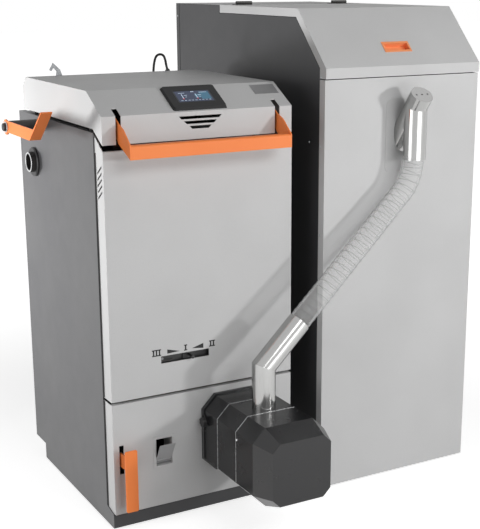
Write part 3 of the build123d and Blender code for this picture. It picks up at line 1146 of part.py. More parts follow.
def make_lid():
    x0 = HOPPER_X0
    x1 = HOPPER_X1
    outer = lid_line()
    skin = side_shape(outer + offset_line(outer, SHEET)[::-1], x0, x1)
    flange = outer + lid_edge(0) + [(LID_SIDE_Y, LID_LIP_Z0)]
    lid = skin + side_shape(flange, x0, x0 + SHEET) + side_shape(flange, x1 - SHEET, x1)

    # The cup of the lid's handle is let into the slope.
    rise = HOPPER_TOP_Z - LID_LIP_Z1
    run = LID_FOLD_Y - LID_FRONT_Y
    cup_y = -17.0
    cup_z = LID_LIP_Z1 + (cup_y - LID_FRONT_Y) * rise / run
    slope = Plane(origin=(HOPPER_X, cup_y, cup_z), x_dir=(1, 0, 0), z_dir=(0, -rise, run))
    lid -= slope * Box(92, 32, 20)
    NODES["hopper_lid"] = lid
    cup = slope * Pos(0, 0, 0) * Box(100, 40, 1.6, align=(Align.CENTER, Align.CENTER, Align.MIN))
    cup += slope * Box(91, 31, 18, align=(Align.CENTER, Align.CENTER, Align.MAX))
    cup -= slope * Pos(0, 0, -16) * Box(87, 27, 30, align=(Align.CENTER, Align.CENTER, Align.MIN))
    NODES["lid_cup"] = cup


build_steps = [make_cabinet, make_body, make_cleaning_lever, make_front_panel, make_hood, make_hood_handle,
               make_rear_fittings, make_hinges, make_door, make_door_handle, make_burner, make_feed, make_hopper]

# The origin is on the floor under the middle of the whole.
X_LOW = LEVER_X - LEVER_CAP_OUT
X_HIGH = HOPPER_X1
Y_LOW = BURNER_Y4
Y_HIGH = HOPPER_BACK_Y
TO_ORIGIN = Pos(-(X_LOW + X_HIGH) / 2, -(Y_LOW + Y_HIGH) / 2, 0)

if __name__ == "__main__":
    os.makedirs("parts", exist_ok=True)
    for step in build_steps:
        step()
    for name, shape in NODES.items():
        export_step(TO_ORIGIN * shape, "parts/" + name + ".step")
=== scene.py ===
import bpy
import json
import math
from mathutils import Matrix, Vector


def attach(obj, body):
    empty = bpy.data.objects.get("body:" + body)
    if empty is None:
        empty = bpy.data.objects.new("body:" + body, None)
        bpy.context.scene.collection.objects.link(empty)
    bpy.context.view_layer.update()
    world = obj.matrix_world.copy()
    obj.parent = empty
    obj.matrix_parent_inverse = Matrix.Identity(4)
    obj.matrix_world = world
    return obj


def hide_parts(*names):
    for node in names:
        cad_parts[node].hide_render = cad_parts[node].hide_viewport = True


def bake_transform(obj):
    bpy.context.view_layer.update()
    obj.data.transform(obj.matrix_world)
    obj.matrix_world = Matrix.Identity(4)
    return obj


# Pellet boiler with its hopper. Lengths are millimetres, measured as the cabinet maker would: X from
# the left side of the boiler, Y back from its plinth, Z up from the floor. spot() turns them into
# metres round the middle of the whole, where the frame has its origin.

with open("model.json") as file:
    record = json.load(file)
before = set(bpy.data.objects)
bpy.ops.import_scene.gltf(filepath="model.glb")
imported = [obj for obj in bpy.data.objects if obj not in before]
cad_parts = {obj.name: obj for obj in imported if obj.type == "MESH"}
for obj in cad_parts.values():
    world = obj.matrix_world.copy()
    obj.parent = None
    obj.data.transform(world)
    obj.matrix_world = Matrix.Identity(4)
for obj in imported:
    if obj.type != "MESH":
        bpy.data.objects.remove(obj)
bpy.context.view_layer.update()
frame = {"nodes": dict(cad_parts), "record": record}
nodes = frame["nodes"]

MIDDLE_X = 572.8
MIDDLE_Y = 277.0


def spot(x, y, z):
    """A place on the object, in metres, from the maker's measures."""
    return Vector(((x - MIDDLE_X) / 1000, (y - MIDDLE_Y) / 1000, z / 1000))


# Camera

CAMERA_AT = spot(-1145.1, -2934.2, 1595.7)
CAMERA_YAW = 0.5183
CAMERA_PITCH = 0.2576
FOCAL_PX = 1146.68
CENTRE_PX = (268.27, 279.32)
PICTURE = (480, 529)
FILM_MM = 36
NEAR_M = 0.05
FAR_M = 60


def set_up_camera():
    forward = Vector((math.sin(CAMERA_YAW) * math.cos(CAMERA_PITCH),
                      math.cos(CAMERA_YAW) * math.cos(CAMERA_PITCH), -math.sin(CAMERA_PITCH)))
    right = Vector((math.cos(CAMERA_YAW), -math.sin(CAMERA_YAW), 0))
    up = right.cross(forward)
    data = bpy.data.cameras.new("camera")
    camera = bpy.data.objects.new("camera", data)
    bpy.context.scene.collection.objects.link(camera)
    turn = Matrix((right, up, -forward)).transposed()
    camera.matrix_world = Matrix.Translation(CAMERA_AT) @ turn.to_4x4()
    # The picture is taller than wide, so the film's size goes with its height.
    data.sensor_width = FILM_MM
    data.lens = FOCAL_PX * FILM_MM / PICTURE[1]
    data.shift_x = (PICTURE[0] / 2 - CENTRE_PX[0]) / PICTURE[1]
    data.shift_y = (CENTRE_PX[1] - PICTURE[1] / 2) / PICTURE[1]
    data.clip_start = NEAR_M
    data.clip_end = FAR_M
    bpy.context.scene.camera = camera


set_up_camera()


# Finishes

COAT_IOR = 1.5
GLOSS_DRIFT = 0.05
ZINC_DRIFT = 0.07
DUST = "2A2A2A"


def tint(code):
    """Linear colour from an sRGB hex value."""
    channels = []
    for i in (0, 2, 4):
        v = int(code[i:i + 2], 16) / 255
        channels.append(v / 12.92 if v <= 0.04045 else ((v + 0.055) / 1.055) ** 2.4)
    return (*channels, 1.0)


def add(tree, kind, feeds, **settings):
    """Adds one node to a tree, with its settings, its values and the sockets that feed it."""
    made = tree.nodes.new(kind)
    for name, value in settings.items():
        setattr(made, name, value)
    for socket, value in feeds.items():
        if isinstance(value, bpy.types.NodeSocket):
            tree.links.new(value, made.inputs[socket])
        else:
            made.inputs[socket].default_value = value
    return made


def new_finish(name):
    """An empty finish: its material, node tree and shader, and the place on the object in metres."""
    material = bpy.data.materials.new(name)
    material.use_nodes = True
    tree = material.node_tree
    place = add(tree, "ShaderNodeTexCoord", {}).outputs["Object"]
    return material, tree, tree.nodes["Principled BSDF"], place


def per_metre(size_mm):
    """A pattern's scale from the real size of one of its features."""
    return 1000 / size_mm


def powder_coat(name, thick, thin, roughness, sheen, peel=0.2):
    """Polyester powder coat, sprayed dry on steel sheet and baked to a closed skin. It gives the eye a
    satin face that drifts a little in tone between thick and thin places, with a faint orange peel."""
    material, tree, shader, place = new_finish(name)
    # The coat gets thicker and thinner over about 300 mm, as the spray gun passes.
    cloud = add(tree, "ShaderNodeTexNoise", {"Vector": place, "Scale": per_metre(300), "Detail": 2})
    drift = add(tree, "ShaderNodeMapRange", {"Value": cloud.outputs["Fac"], "From Min": 0.35,
                                             "From Max": 0.65})
    coat = add(tree, "ShaderNodeMix", {0: drift.outputs["Result"], 6: tint(thick), 7: tint(thin)},
               data_type="RGBA")
    # Dust pits of 0.3 mm are drawn as 1 mm, so that they show at all.
    dust = add(tree, "ShaderNodeTexNoise", {"Vector": place, "Scale": per_metre(1.0), "Detail": 1})
    pit = add(tree, "ShaderNodeMapRange", {"Value": dust.outputs["Fac"], "From Min": 0.66, "From Max": 0.8,
                                           "To Max": 0.25})
    pitted = add(tree, "ShaderNodeMix", {0: pit.outputs["Result"], 6: coat.outputs[2], 7: tint(DUST)},
                 data_type="RGBA")
    tree.links.new(pitted.outputs[2], shader.inputs["Base Color"])
    # Hands and cloths polish patches of some 60 mm.
    rub = add(tree, "ShaderNodeTexNoise", {"Vector": place, "Scale": per_metre(60), "Detail": 3})
    gloss = add(tree, "ShaderNodeMapRange", {"Value": rub.outputs["Fac"], "To Min": roughness - GLOSS_DRIFT,
                                             "To Max": roughness + GLOSS_DRIFT})
    tree.links.new(gloss.outputs["Result"], shader.inputs["Roughness"])
    # Orange peel has waves of about 2 mm.
    waves = add(tree, "ShaderNodeTexNoise", {"Vector": place, "Scale": per_metre(2), "Detail": 2})
    bump = add(tree, "ShaderNodeBump", {"Height": waves.outputs["Fac"], "Strength": peel, "Distance": 0.0002})
    tree.links.new(bump.outputs["Normal"], shader.inputs["Normal"])
    shader.inputs["IOR"].default_value = COAT_IOR
    shader.inputs["Specular IOR Level"].default_value = sheen
    return material


def stove_enamel():
    """Heat-proof black stove enamel, brushed on the welded steel body. It gives the eye a dull, slightly
    rough black that the weld heat has browned in patches."""
    material, tree, shader, place = new_finish("stove_enamel")
    heat = add(tree, "ShaderNodeTexNoise", {"Vector": place, "Scale": per_metre(90), "Detail": 4})
    skin = add(tree, "ShaderNodeMix", {0: heat.outputs["Fac"], 6: tint("222223"), 7: tint("34322F")},
               data_type="RGBA")
    tree.links.new(skin.outputs[2], shader.inputs["Base Color"])
    # Brush marks are 1 mm apart and run along the sheet.
    along = add(tree, "ShaderNodeMapping", {"Vector": place, "Scale": (1, 1, 0.15)})
    marks = add(tree, "ShaderNodeTexNoise", {"Vector": along.outputs["Vector"], "Scale": per_metre(1),
                                             "Detail": 3})
    bump = add(tree, "ShaderNodeBump", {"Height": marks.outputs["Fac"], "Strength": 0.3, "Distance": 0.0003})
    tree.links.new(bump.outputs["Normal"], shader.inputs["Normal"])
    shader.inputs["Roughness"].default_value = 0.5
    shader.inputs["IOR"].default_value = COAT_IOR
    return material


def stainless_tube():
    """Stainless steel tube, drawn and then polished along its length. It gives the eye a soft mirror:
    grey, with a sharp white band of the lamp and faint lines along the tube."""
    material, tree, shader, place = new_finish("polished_stainless_tube")
    # Polishing lines are 0.1 mm apart; they are drawn 2 mm apart, so that they show.
    along = add(tree, "ShaderNodeMapping", {"Vector": place, "Scale": (1, 1, 0.05)})
    lines = add(tree, "ShaderNodeTexNoise", {"Vector": along.outputs["Vector"], "Scale": per_metre(2),
                                             "Detail": 3})
    steel = add(tree, "ShaderNodeMix", {0: lines.outputs["Fac"], 6: tint("A6A6A5"), 7: tint("B6B6B5")},
                data_type="RGBA")
    tree.links.new(steel.outputs[2], shader.inputs["Base Color"])
    gloss = add(tree, "ShaderNodeMapRange", {"Value": lines.outputs["Fac"], "To Min": 0.12, "To Max": 0.2})
    tree.links.new(gloss.outputs["Result"], shader.inputs["Roughness"])
    shader.inputs["Metallic"].default_value = 1.0
    return material


def zinc_plate(name, dark, light, roughness):
    """Mild steel with passivated zinc plate. It gives the eye a cool grey metal, cloudy with the
    crystals of the zinc and duller than stainless."""
    material, tree, shader, place = new_finish(name)
    # Zinc spangles are 4 mm across.
    spangle = add(tree, "ShaderNodeTexVoronoi", {"Vector": place, "Scale": per_metre(4)})
    cloud = add(tree, "ShaderNodeMapRange", {"Value": spangle.outputs["Distance"], "From Min": 0.1,
                                             "From Max": 0.7})
    zinc = add(tree, "ShaderNodeMix", {0: cloud.outputs["Result"], 6: tint(dark), 7: tint(light)},
               data_type="RGBA")
    tree.links.new(zinc.outputs[2], shader.inputs["Base Color"])
    # Passivation stains spread over 12 mm.
    stain = add(tree, "ShaderNodeTexNoise", {"Vector": place, "Scale": per_metre(12), "Detail": 3})
    gloss = add(tree, "ShaderNodeMapRange", {"Value": stain.outputs["Fac"], "To Min": roughness - ZINC_DRIFT,
                                             "To Max": roughness + ZINC_DRIFT})
    tree.links.new(gloss.outputs["Result"], shader.inputs["Roughness"])
    shader.inputs["Metallic"].default_value = 1.0
    return material


def furnace_steel():
    """Heat-resisting steel that stands in the fire. It gives the eye a dull brown-grey metal, scaled
    and tempered in patches."""
    material, tree, shader, place = new_finish("furnace_steel")
    scale = add(tree, "ShaderNodeTexNoise", {"Vector": place, "Scale": per_metre(25), "Detail": 5})
    steel = add(tree, "ShaderNodeMix", {0: scale.outputs["Fac"], 6: tint("5C5048"), 7: tint("8A8078")},
                data_type="RGBA")
    tree.links.new(steel.outputs[2], shader.inputs["Base Color"])
    gloss = add(tree, "ShaderNodeMapRange", {"Value": scale.outputs["Fac"], "To Min": 0.35, "To Max": 0.6})
    tree.links.new(gloss.outputs["Result"], shader.inputs["Roughness"])
    bump = add(tree, "ShaderNodeBump", {"Height": scale.outputs["Fac"], "Strength": 0.3, "Distance": 0.0004})
    tree.links.new(bump.outputs["Normal"], shader.inputs["Normal"])
    shader.inputs["Metallic"].default_value = 1.0
    return material


def moulded_plastic(name, dark, light, roughness, grain_mm, ior):
    """Injection-moulded plastic or pressed rubber from a spark-eroded mould. It gives the eye an even
    black that breaks up its gloss in a fine grain."""
    material, tree, shader, place = new_finish(name)
    # The melt's flow shows over 50 mm.
    flow = add(tree, "ShaderNodeTexNoise", {"Vector": place, "Scale": per_metre(50), "Detail": 3})
    resin = add(tree, "ShaderNodeMix", {0: flow.outputs["Fac"], 6: tint(dark), 7: tint(light)},
                data_type="RGBA")
    tree.links.new(resin.outputs[2], shader.inputs["Base Color"])
    gloss = add(tree, "ShaderNodeMapRange", {"Value": flow.outputs["Fac"], "To Min": roughness - GLOSS_DRIFT,
                                             "To Max": roughness + GLOSS_DRIFT})
    tree.links.new(gloss.outputs["Result"], shader.inputs["Roughness"])
    grain = add(tree, "ShaderNodeTexNoise", {"Vector": place, "Scale": per_metre(grain_mm), "Detail": 2})
    bump = add(tree, "ShaderNodeBump", {"Height": grain.outputs["Fac"], "Strength": 0.3, "Distance": 0.00025})
    tree.links.new(bump.outputs["Normal"], shader.inputs["Normal"])
    shader.inputs["IOR"].default_value = ior
    return material


def cast_aluminium():
    """Sand-cast aluminium, painted thinly in machine grey. It gives the eye a grainy, dull grey."""
    material, tree, shader, place = new_finish("cast_aluminium")
    # Sand grains are 0.5 mm; they are drawn as 3 mm, so that they show.
    sand = add(tree, "ShaderNodeTexNoise", {"Vector": place, "Scale": per_metre(3), "Detail": 3})
    skin = add(tree, "ShaderNodeMix", {0: sand.outputs["Fac"], 6: tint("63676B"), 7: tint("7C8084")},
               data_type="RGBA")
    tree.links.new(skin.outputs[2], shader.inputs["Base Color"])
    bump = add(tree, "ShaderNodeBump", {"Height": sand.outputs["Fac"], "Strength": 0.5, "Distance": 0.0005})
    tree.links.new(bump.outputs["Normal"], shader.inputs["Normal"])
    shader.inputs["Roughness"].default_value = 0.55
    return material


def fibre_board():
    """Pressed ceramic-fibre board. It gives the eye a soft, straw-coloured block with matted fibres."""
    material, tree, shader, place = new_finish("fibre_board")
    # Fibre bundles are 6 mm long and 1 mm wide.
    across = add(tree, "ShaderNodeMapping", {"Vector": place, "Scale": (1, 1, 6)})
    fibre = add(tree, "ShaderNodeTexNoise", {"Vector": across.outputs["Vector"], "Scale": per_metre(6),
                                             "Detail": 5})
    board = add(tree, "ShaderNodeMix", {0: fibre.outputs["Fac"], 6: tint("A2967E"), 7: tint("CFC5AE")},
                data_type="RGBA")
    tree.links.new(board.outputs[2], shader.inputs["Base Color"])
    bump = add(tree, "ShaderNodeBump", {"Height": fibre.outputs["Fac"], "Strength": 0.6, "Distance": 0.0012})
    tree.links.new(bump.outputs["Normal"], shader.inputs["Normal"])
    shader.inputs["Roughness"].default_value = 0.95
    return material


def glass_rope():
    """Braided glass-fibre rope. It gives the eye a pale grey cord with a slanting plait."""
    material, tree, shader, place = new_finish("glass_rope")
    # The plait repeats every 10 mm.
    plait = add(tree, "ShaderNodeTexWave", {"Vector": place, "Scale": per_metre(10), "Distortion": 2})
    yarn = add(tree, "ShaderNodeMix", {0: plait.outputs["Fac"], 6: tint("8E8B84"), 7: tint("C4C0B8")},
               data_type="RGBA")
    tree.links.new(yarn.outputs[2], shader.inputs["Base Color"])
    bump = add(tree, "ShaderNodeBump", {"Height": plait.outputs["Fac"], "Strength": 0.7, "Distance": 0.001})
    tree.links.new(bump.outputs["Normal"], shader.inputs["Normal"])
    shader.inputs["Roughness"].default_value = 0.9
    return material


def touch_glass():
    """Hardened cover glass over a lit display. It gives the eye a deep blue-black mirror."""
    material, tree, shader, place = new_finish("touch_glass")
    glow = add(tree, "ShaderNodeTexNoise", {"Vector": place, "Scale": per_metre(70), "Detail": 2})
    depth = add(tree, "ShaderNodeMix", {0: glow.outputs["Fac"], 6: tint("0C1420"), 7: tint("16263A")},
                data_type="RGBA")
    tree.links.new(depth.outputs[2], shader.inputs["Base Color"])
    shader.inputs["Roughness"].default_value = 0.06
    shader.inputs["IOR"].default_value = 1.4
    return material


def lit_pixels(name, code, strength):
    """Lit display dots behind the glass. They give the eye a patch of even light with a fine grid."""
    material, tree, shader, place = new_finish(name)
    # Display dots are 0.2 mm; the grid is drawn every 3 mm, so that it shows.
    dots = add(tree, "ShaderNodeTexChecker", {"Vector": place, "Scale": per_metre(3), "Color1": tint(code)})
    dark = [channel * 0.9 for channel in tint(code)[:3]]
    dots.inputs["Color2"].default_value = (*dark, 1)
    tree.links.new(dots.outputs["Color"], shader.inputs["Emission Color"])
    tree.links.new(dots.outputs["Color"], shader.inputs["Base Color"])
    shader.inputs["Emission Strength"].default_value = strength
    shader.inputs["Roughness"].default_value = 0.3
    return material


def clear_hose_wall():
    """Soft clear PVC, extruded over a spiral. It gives the eye a see-through tube that is clearest in
    the middle and paler toward its sides, where the wall is seen edge on."""
    material, tree, shader, place = new_finish("clear_pvc_wall")
    haze = add(tree, "ShaderNodeTexNoise", {"Vector": place, "Scale": per_metre(30), "Detail": 3})
    pvc = add(tree, "ShaderNodeMix", {0: haze.outputs["Fac"], 6: tint("E0E1E1"), 7: tint("ECECEB")},
              data_type="RGBA")
    edge = add(tree, "ShaderNodeLayerWeight", {"Blend": 0.35})
    # At the very rim the light goes along the wall and is lost, which draws a thin grey line.
    rim = add(tree, "ShaderNodeMapRange", {"Value": edge.outputs["Facing"], "From Min": 0.5,
                                           "From Max": 0.72})
    skin = add(tree, "ShaderNodeMix", {0: rim.outputs["Result"], 6: pvc.outputs[2], 7: tint("6E6E6F")},
               data_type="RGBA")
    tree.links.new(skin.outputs[2], shader.inputs["Base Color"])
    wall = add(tree, "ShaderNodeMapRange", {"Value": edge.outputs["Facing"], "From Min": 0.25,
                                            "From Max": 0.8, "To Min": 0.14, "To Max": 0.75})
    tree.links.new(wall.outputs["Result"], shader.inputs["Alpha"])
    shader.inputs["Roughness"].default_value = 0.14
    shader.inputs["IOR"].default_value = 1.53
    return material


def hose_spiral():
    """The spring-steel wire in the hose's wall. It gives the eye fine dark ticks across the tube."""
    material, tree, shader, place = new_finish("hose_spring_wire")
    # Oil film breaks over 5 mm.
    film = add(tree, "ShaderNodeTexNoise", {"Vector": place, "Scale": per_metre(5), "Detail": 2})
    wire = add(tree, "ShaderNodeMix", {0: film.outputs["Fac"], 6: tint("6A6A6A"), 7: tint("8C8C8C")},
               data_type="RGBA")
    tree.links.new(wire.outputs[2], shader.inputs["Base Color"])
    shader.inputs["Alpha"].default_value = 0.28
    shader.inputs["Roughness"].default_value = 0.3
    return material


# Each coat has its colour where it is thick and where thin, its roughness, its sheen and its peel.
LIGHT_COAT = powder_coat("light_grey_powder_coat", "C8C8C8", "CDCDCD", 0.5, 0.2)
SIDE_COAT = powder_coat("graphite_powder_coat", "575759", "5D5D5E", 0.4, 0.35)
# The graphite coat again, made darker: painted shade for the hopper's sides, the backs, the deck and the
# plinth.
SHADED_GRAPHITE_COAT = powder_coat("graphite_coat_painted_shade", "2C2C2E", "313133", 0.42, 0.5)
ORANGE_COAT = powder_coat("orange_powder_coat", "F98744", "FD8D4A", 0.45, 0.3)
BURNER_COAT = powder_coat("black_gloss_powder_coat", "1A1A1C", "1E1E1F", 0.26, 0.55, 0.12)
PLATE_COAT = powder_coat("grey_plate_coat", "868687", "8C8C8D", 0.35, 0.3, 0.1)
FLAP_COAT = powder_coat("mid_grey_powder_coat", "A0A0A1", "A6A6A7", 0.4, 0.25)
# The orange coat again, made paler: painted light for the cup on the lid's slope.
LIT_CUP_COAT = powder_coat("orange_coat_painted_light", "FA9E69", "FCA36F", 0.45, 0.3)

ENAMEL = stove_enamel()
STAINLESS = stainless_tube()
ZINC = zinc_plate("zinc_plated_fittings", "9EA1A4", "BBBEC1", 0.36)
BRIGHT_ZINC = zinc_plate("bright_zinc_plate", "C9CACB", "E2E3E4", 0.28)
HOOK_ZINC = zinc_plate("dull_zinc_plate", "6E7072", "8C8E90", 0.45)
FURNACE = furnace_steel()
ABS = moulded_plastic("black_abs", "151516", "1B1B1C", 0.42, 1.5, 1.54)
BEZEL = moulded_plastic("panel_abs", "151516", "1A1B1C", 0.5, 1.5, 1.3)
RUBBER = moulded_plastic("black_epdm_rubber", "141414", "1C1C1B", 0.75, 2.5, 1.52)
INK = moulded_plastic("black_printing_ink", "0A0A0B", "111112", 0.6, 1.5, 1.5)
CASTING = cast_aluminium()
BOARD = fibre_board()
ROPE = glass_rope()
GLASS = touch_glass()
HOSE_WALL = clear_hose_wall()
HOSE_WIRE = hose_spiral()

FINISH = {
    "light_sheet": LIGHT_COAT, "dark_sheet": SIDE_COAT, "orange_sheet": ORANGE_COAT,
    "black_case": BURNER_COAT, "black_plastic": ABS, "screen_glass": GLASS, "bright_steel": STAINLESS,
    "zinc_steel": ZINC, "body_steel": ENAMEL, "heat_steel": FURNACE, "insulation": BOARD,
    "rope_seal": ROPE, "hose_plastic": HOSE_WALL, "rubber": RUBBER, "cable_sheath": RUBBER,
    "motor_cast": CASTING,
}

# Nodes whose finish differs from the rest of their slot.
# The darker graphite coat on the hopper, the backs, the deck and the plinth is painted shade.
OWN_FINISH = {"touch_panel": BEZEL, "burner_plates": BRIGHT_ZINC, "boiler_plinth": SHADED_GRAPHITE_COAT,
              "hopper_side_panels": SHADED_GRAPHITE_COAT, "hopper_back_panel": SHADED_GRAPHITE_COAT, "hopper_base": SHADED_GRAPHITE_COAT,
              "top_deck": SHADED_GRAPHITE_COAT, "back_panel": SHADED_GRAPHITE_COAT, "lid_hinge_leaves": ENAMEL,
              "fixed_hinge_leaves": ENAMEL, "hook_plate": HOOK_ZINC, "air_frame": LIGHT_COAT,
              "air_flap": FLAP_COAT, "lid_cup": LIT_CUP_COAT}

# Folded sheet has a small round on its edges, in millimetres, which catches the light.
EDGE_ROUND = {"burner_front_case": 1.2, "burner_mid_case": 1.0, "burner_rear_case": 1.0, "hood_shell": 0.9,
              "upper_front_panel": 0.8, "lower_door_panel": 0.8, "hopper_lid": 0.9, "hopper_front_panel": 0.7,
              "hood_handle": 0.8, "cleaning_lever": 0.8, "door_handle": 0.8, "left_side_panel": 0.6,
              "touch_panel": 0.8, "lid_cup": 0.6, "burner_flange": 0.6}
ROUND_STEPS = 2
FOLD_ANGLE = math.radians(28)


def dress_solids():
    """Each solid gets its finish, and the folded ones their rounded edges."""
    slots = {s["node"]: s["material_slot"] for s in frame["record"]["subparts"]}
    for name, solid in nodes.items():
        for slot in solid.material_slots:
            slot.material = OWN_FINISH.get(name, FINISH[slots[name]])
        if name in EDGE_ROUND:
            edge = solid.modifiers.new("edge", "BEVEL")
            edge.width = EDGE_ROUND[name] / 1000
            edge.segments = ROUND_STEPS
            edge.limit_method = "ANGLE"
            edge.angle_limit = FOLD_ANGLE


dress_solids()


# Making pieces

LEFT = Vector((-1, 0, 0))
RIGHT = Vector((1, 0, 0))
FRONT = Vector((0, -1, 0))
BACK = Vector((0, 1, 0))


def make_piece(name, form, material, body, smooth=False):
    """A mesh piece from its points and faces, which rides on a body."""
    points, faces = form
    mesh = bpy.data.meshes.new(name)
    mesh.from_pydata([tuple(v) for v in points], [], faces)
    mesh.validate()
    for polygon in mesh.polygons:
        polygon.use_smooth = smooth
    mesh.update()
    mesh.materials.append(material)
    made = bpy.data.objects.new(name, mesh)
    bpy.context.scene.collection.objects.link(made)
    if body:
        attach(made, body)
    return made


def cut_plate(outline, out, depth):
    """A flat plate: its outline in metres, raised by so many millimetres."""
    count = len(outline)
    top = [p + out * depth / 1000 for p in outline]
    faces = [tuple(range(count))[::-1], tuple(range(count, 2 * count))]
    for i in range(count):
        j = (i + 1) % count
        faces.append((i, j, count + j, count + i))
    return list(outline) + top, faces


def together(forms):
    """Several forms as one."""
    points = []
    faces = []
    for more_points, more_faces in forms:
        base = len(points)
        points += more_points
        faces += [tuple(base + i for i in face) for face in more_faces]
    return points, faces


def turned(profile, centre, axis, sides=24, closed=True):
    """A turned form from pairs of radius and height along its axis, in millimetres. A closed one ends
    in flat faces, and an open one is a ring whose section comes back to its start."""
    axis = Vector(axis).normalized()
    across = axis.orthogonal().normalized()
    other = axis.cross(across)
    points = []
    faces = []
    for radius, height in profile:
        for k in range(sides):
            a = 2 * math.pi * k / sides
            rim = across * math.cos(a) + other * math.sin(a)
            points.append(centre + (rim * radius + axis * height) / 1000)
    rows = len(profile)
    last = rows - 1 if closed else rows
    for i in range(last):
        for k in range(sides):
            n = (k + 1) % sides
            up = (i + 1) % rows
            faces.append((i * sides + k, i * sides + n, up * sides + n, up * sides + k))
    if closed:
        faces.append(tuple(range(sides))[::-1])
        faces.append(tuple(last * sides + k for k in range(sides)))
    return points, faces


def pan_screw(centre, axis, radius, rise=1.6):
    """A pan-head screw with a round socket."""
    profile = [(radius, 0), (radius, rise * 0.45), (radius * 0.82, rise * 0.85), (radius * 0.5, rise),
               (radius * 0.42, rise), (radius * 0.4, rise * 0.35), (radius * 0.05, rise * 0.3)]
    return turned(profile, centre, axis)


# Feed hose

HOSE_R = 32.6
HOSE_BORE = 29.6
RIB_PITCH = 23.0
RIB_RISE = 1.4
WIRE_R = 0.8
DROP_TUBE = (413.0, -175.0)
SPOUT = (971.1, -125.5)
FEED_RISE = math.radians(42)
MITRE_Z = 498.0
ARM_L = 171.0
CUFF_L = 70.0
SPOUT_Z = 1057.0
# The hose stops this far short of the spout's end, clear of the turning auger.
AUGER_ROOM = 9.0
# The route's second point lies this far short of halfway to the bend.
HALFWAY_SHORT = 40
HOSE_STEP_M = 0.0024
HOSE_SIDES = 40
RIB_SHARPNESS = 4
# The ribs rise from the smooth cuffs over so many rings.
RIB_EASE = 6
WIRE_SIDES = 6
WIRE_TURN_STEPS = 30
CORD_ORDER = 3
CORD_STEPS = 24


def feed_route():
    """The hose's way: on in line with the steel arm and round into the spout."""
    run = math.hypot(SPOUT[0] - DROP_TUBE[0], SPOUT[1] - DROP_TUBE[1])
    flat = Vector((SPOUT[0] - DROP_TUBE[0], SPOUT[1] - DROP_TUBE[1], 0)) / run
    climb = math.tan(FEED_RISE)

    def over(distance):
        return spot(*(Vector((*DROP_TUBE, MITRE_Z)) + flat * distance + Vector((0, 0, distance * climb))))

    corner_z = MITRE_Z + run * climb
    top_z = SPOUT_Z + CUFF_L - AUGER_ROOM
    start = (ARM_L - CUFF_L) * math.cos(FEED_RISE)
    bend = run - (top_z - corner_z) * math.cos(FEED_RISE)
    return [over(start), over((start + bend) / 2 - HALFWAY_SHORT), over(bend), spot(*SPOUT, corner_z),
            spot(*SPOUT, top_z)]


def spline_line(route, name):
    """The smooth line that a cord's spline follows."""
    curve = bpy.data.curves.new(name, "CURVE")
    curve.dimensions = "3D"
    spline = curve.splines.new("NURBS")
    spline.points.add(len(route) - 1)
    for i in range(len(route)):
        spline.points[i].co = (*route[i], 1)
    spline.order_u = CORD_ORDER
    spline.use_endpoint_u = True
    spline.resolution_u = CORD_STEPS
    holder = bpy.data.objects.new(name, curve)
    bpy.context.scene.collection.objects.link(holder)
    bpy.context.view_layer.update()
    mesh = bpy.data.meshes.new_from_object(holder.evaluated_get(bpy.context.evaluated_depsgraph_get()))
    line = [v.co.copy() for v in mesh.vertices]
    bpy.data.objects.remove(holder)
    bpy.data.meshes.remove(mesh)
    bpy.data.curves.remove(curve)
    return line


def even_line(line, step):
    """The same line with its points a steady step apart, and its length."""
    lengths = [0.0]
    for a, b in zip(line, line[1:]):
        lengths.append(lengths[-1] + (b - a).length)
    count = max(2, round(lengths[-1] / step))
    made = []
    j = 0
    for i in range(count + 1):
        target = lengths[-1] * i / count
        while j < len(lengths) - 2 and lengths[j + 1] < target:
            j += 1
        part = (target - lengths[j]) / (lengths[j + 1] - lengths[j])
        made.append(line[j].lerp(line[j + 1], min(1, part)))
    return made, lengths[-1]


def steady_rings(line):
    """Along each point of a line: the point and two directions square to the line that don't twist."""
    rings = []
    side = None
    for i in range(len(line)):
        along = (line[min(len(line) - 1, i + 1)] - line[max(0, i - 1)]).normalized()
        if side is None:
            side = along.orthogonal()
        side = (side - along * side.dot(along)).normalized()
        rings.append((line[i], side, along.cross(side)))
    return rings


def tube_points(rings, radius_at, sides):
    """The points of a tube along its rings, with the radius in millimetres for each ring and angle."""
    points = []
    for i in range(len(rings)):
        centre, side, other = rings[i]
        for k in range(sides):
            a = 2 * math.pi * k / sides
            points.append(centre + (side * math.cos(a) + other * math.sin(a)) * radius_at(i, a) / 1000)
    return points


def tube_faces(count, sides, base=0, inward=False):
    """The faces of a tube of so many rings, whose first point has the number base."""
    faces = []
    for i in range(count - 1):
        for k in range(sides):
            n = (k + 1) % sides
            face = (base + i * sides + k, base + i * sides + n, base + (i + 1) * sides + n,
                    base + (i + 1) * sides + k)
            faces.append(face[::-1] if inward else face)
    return faces


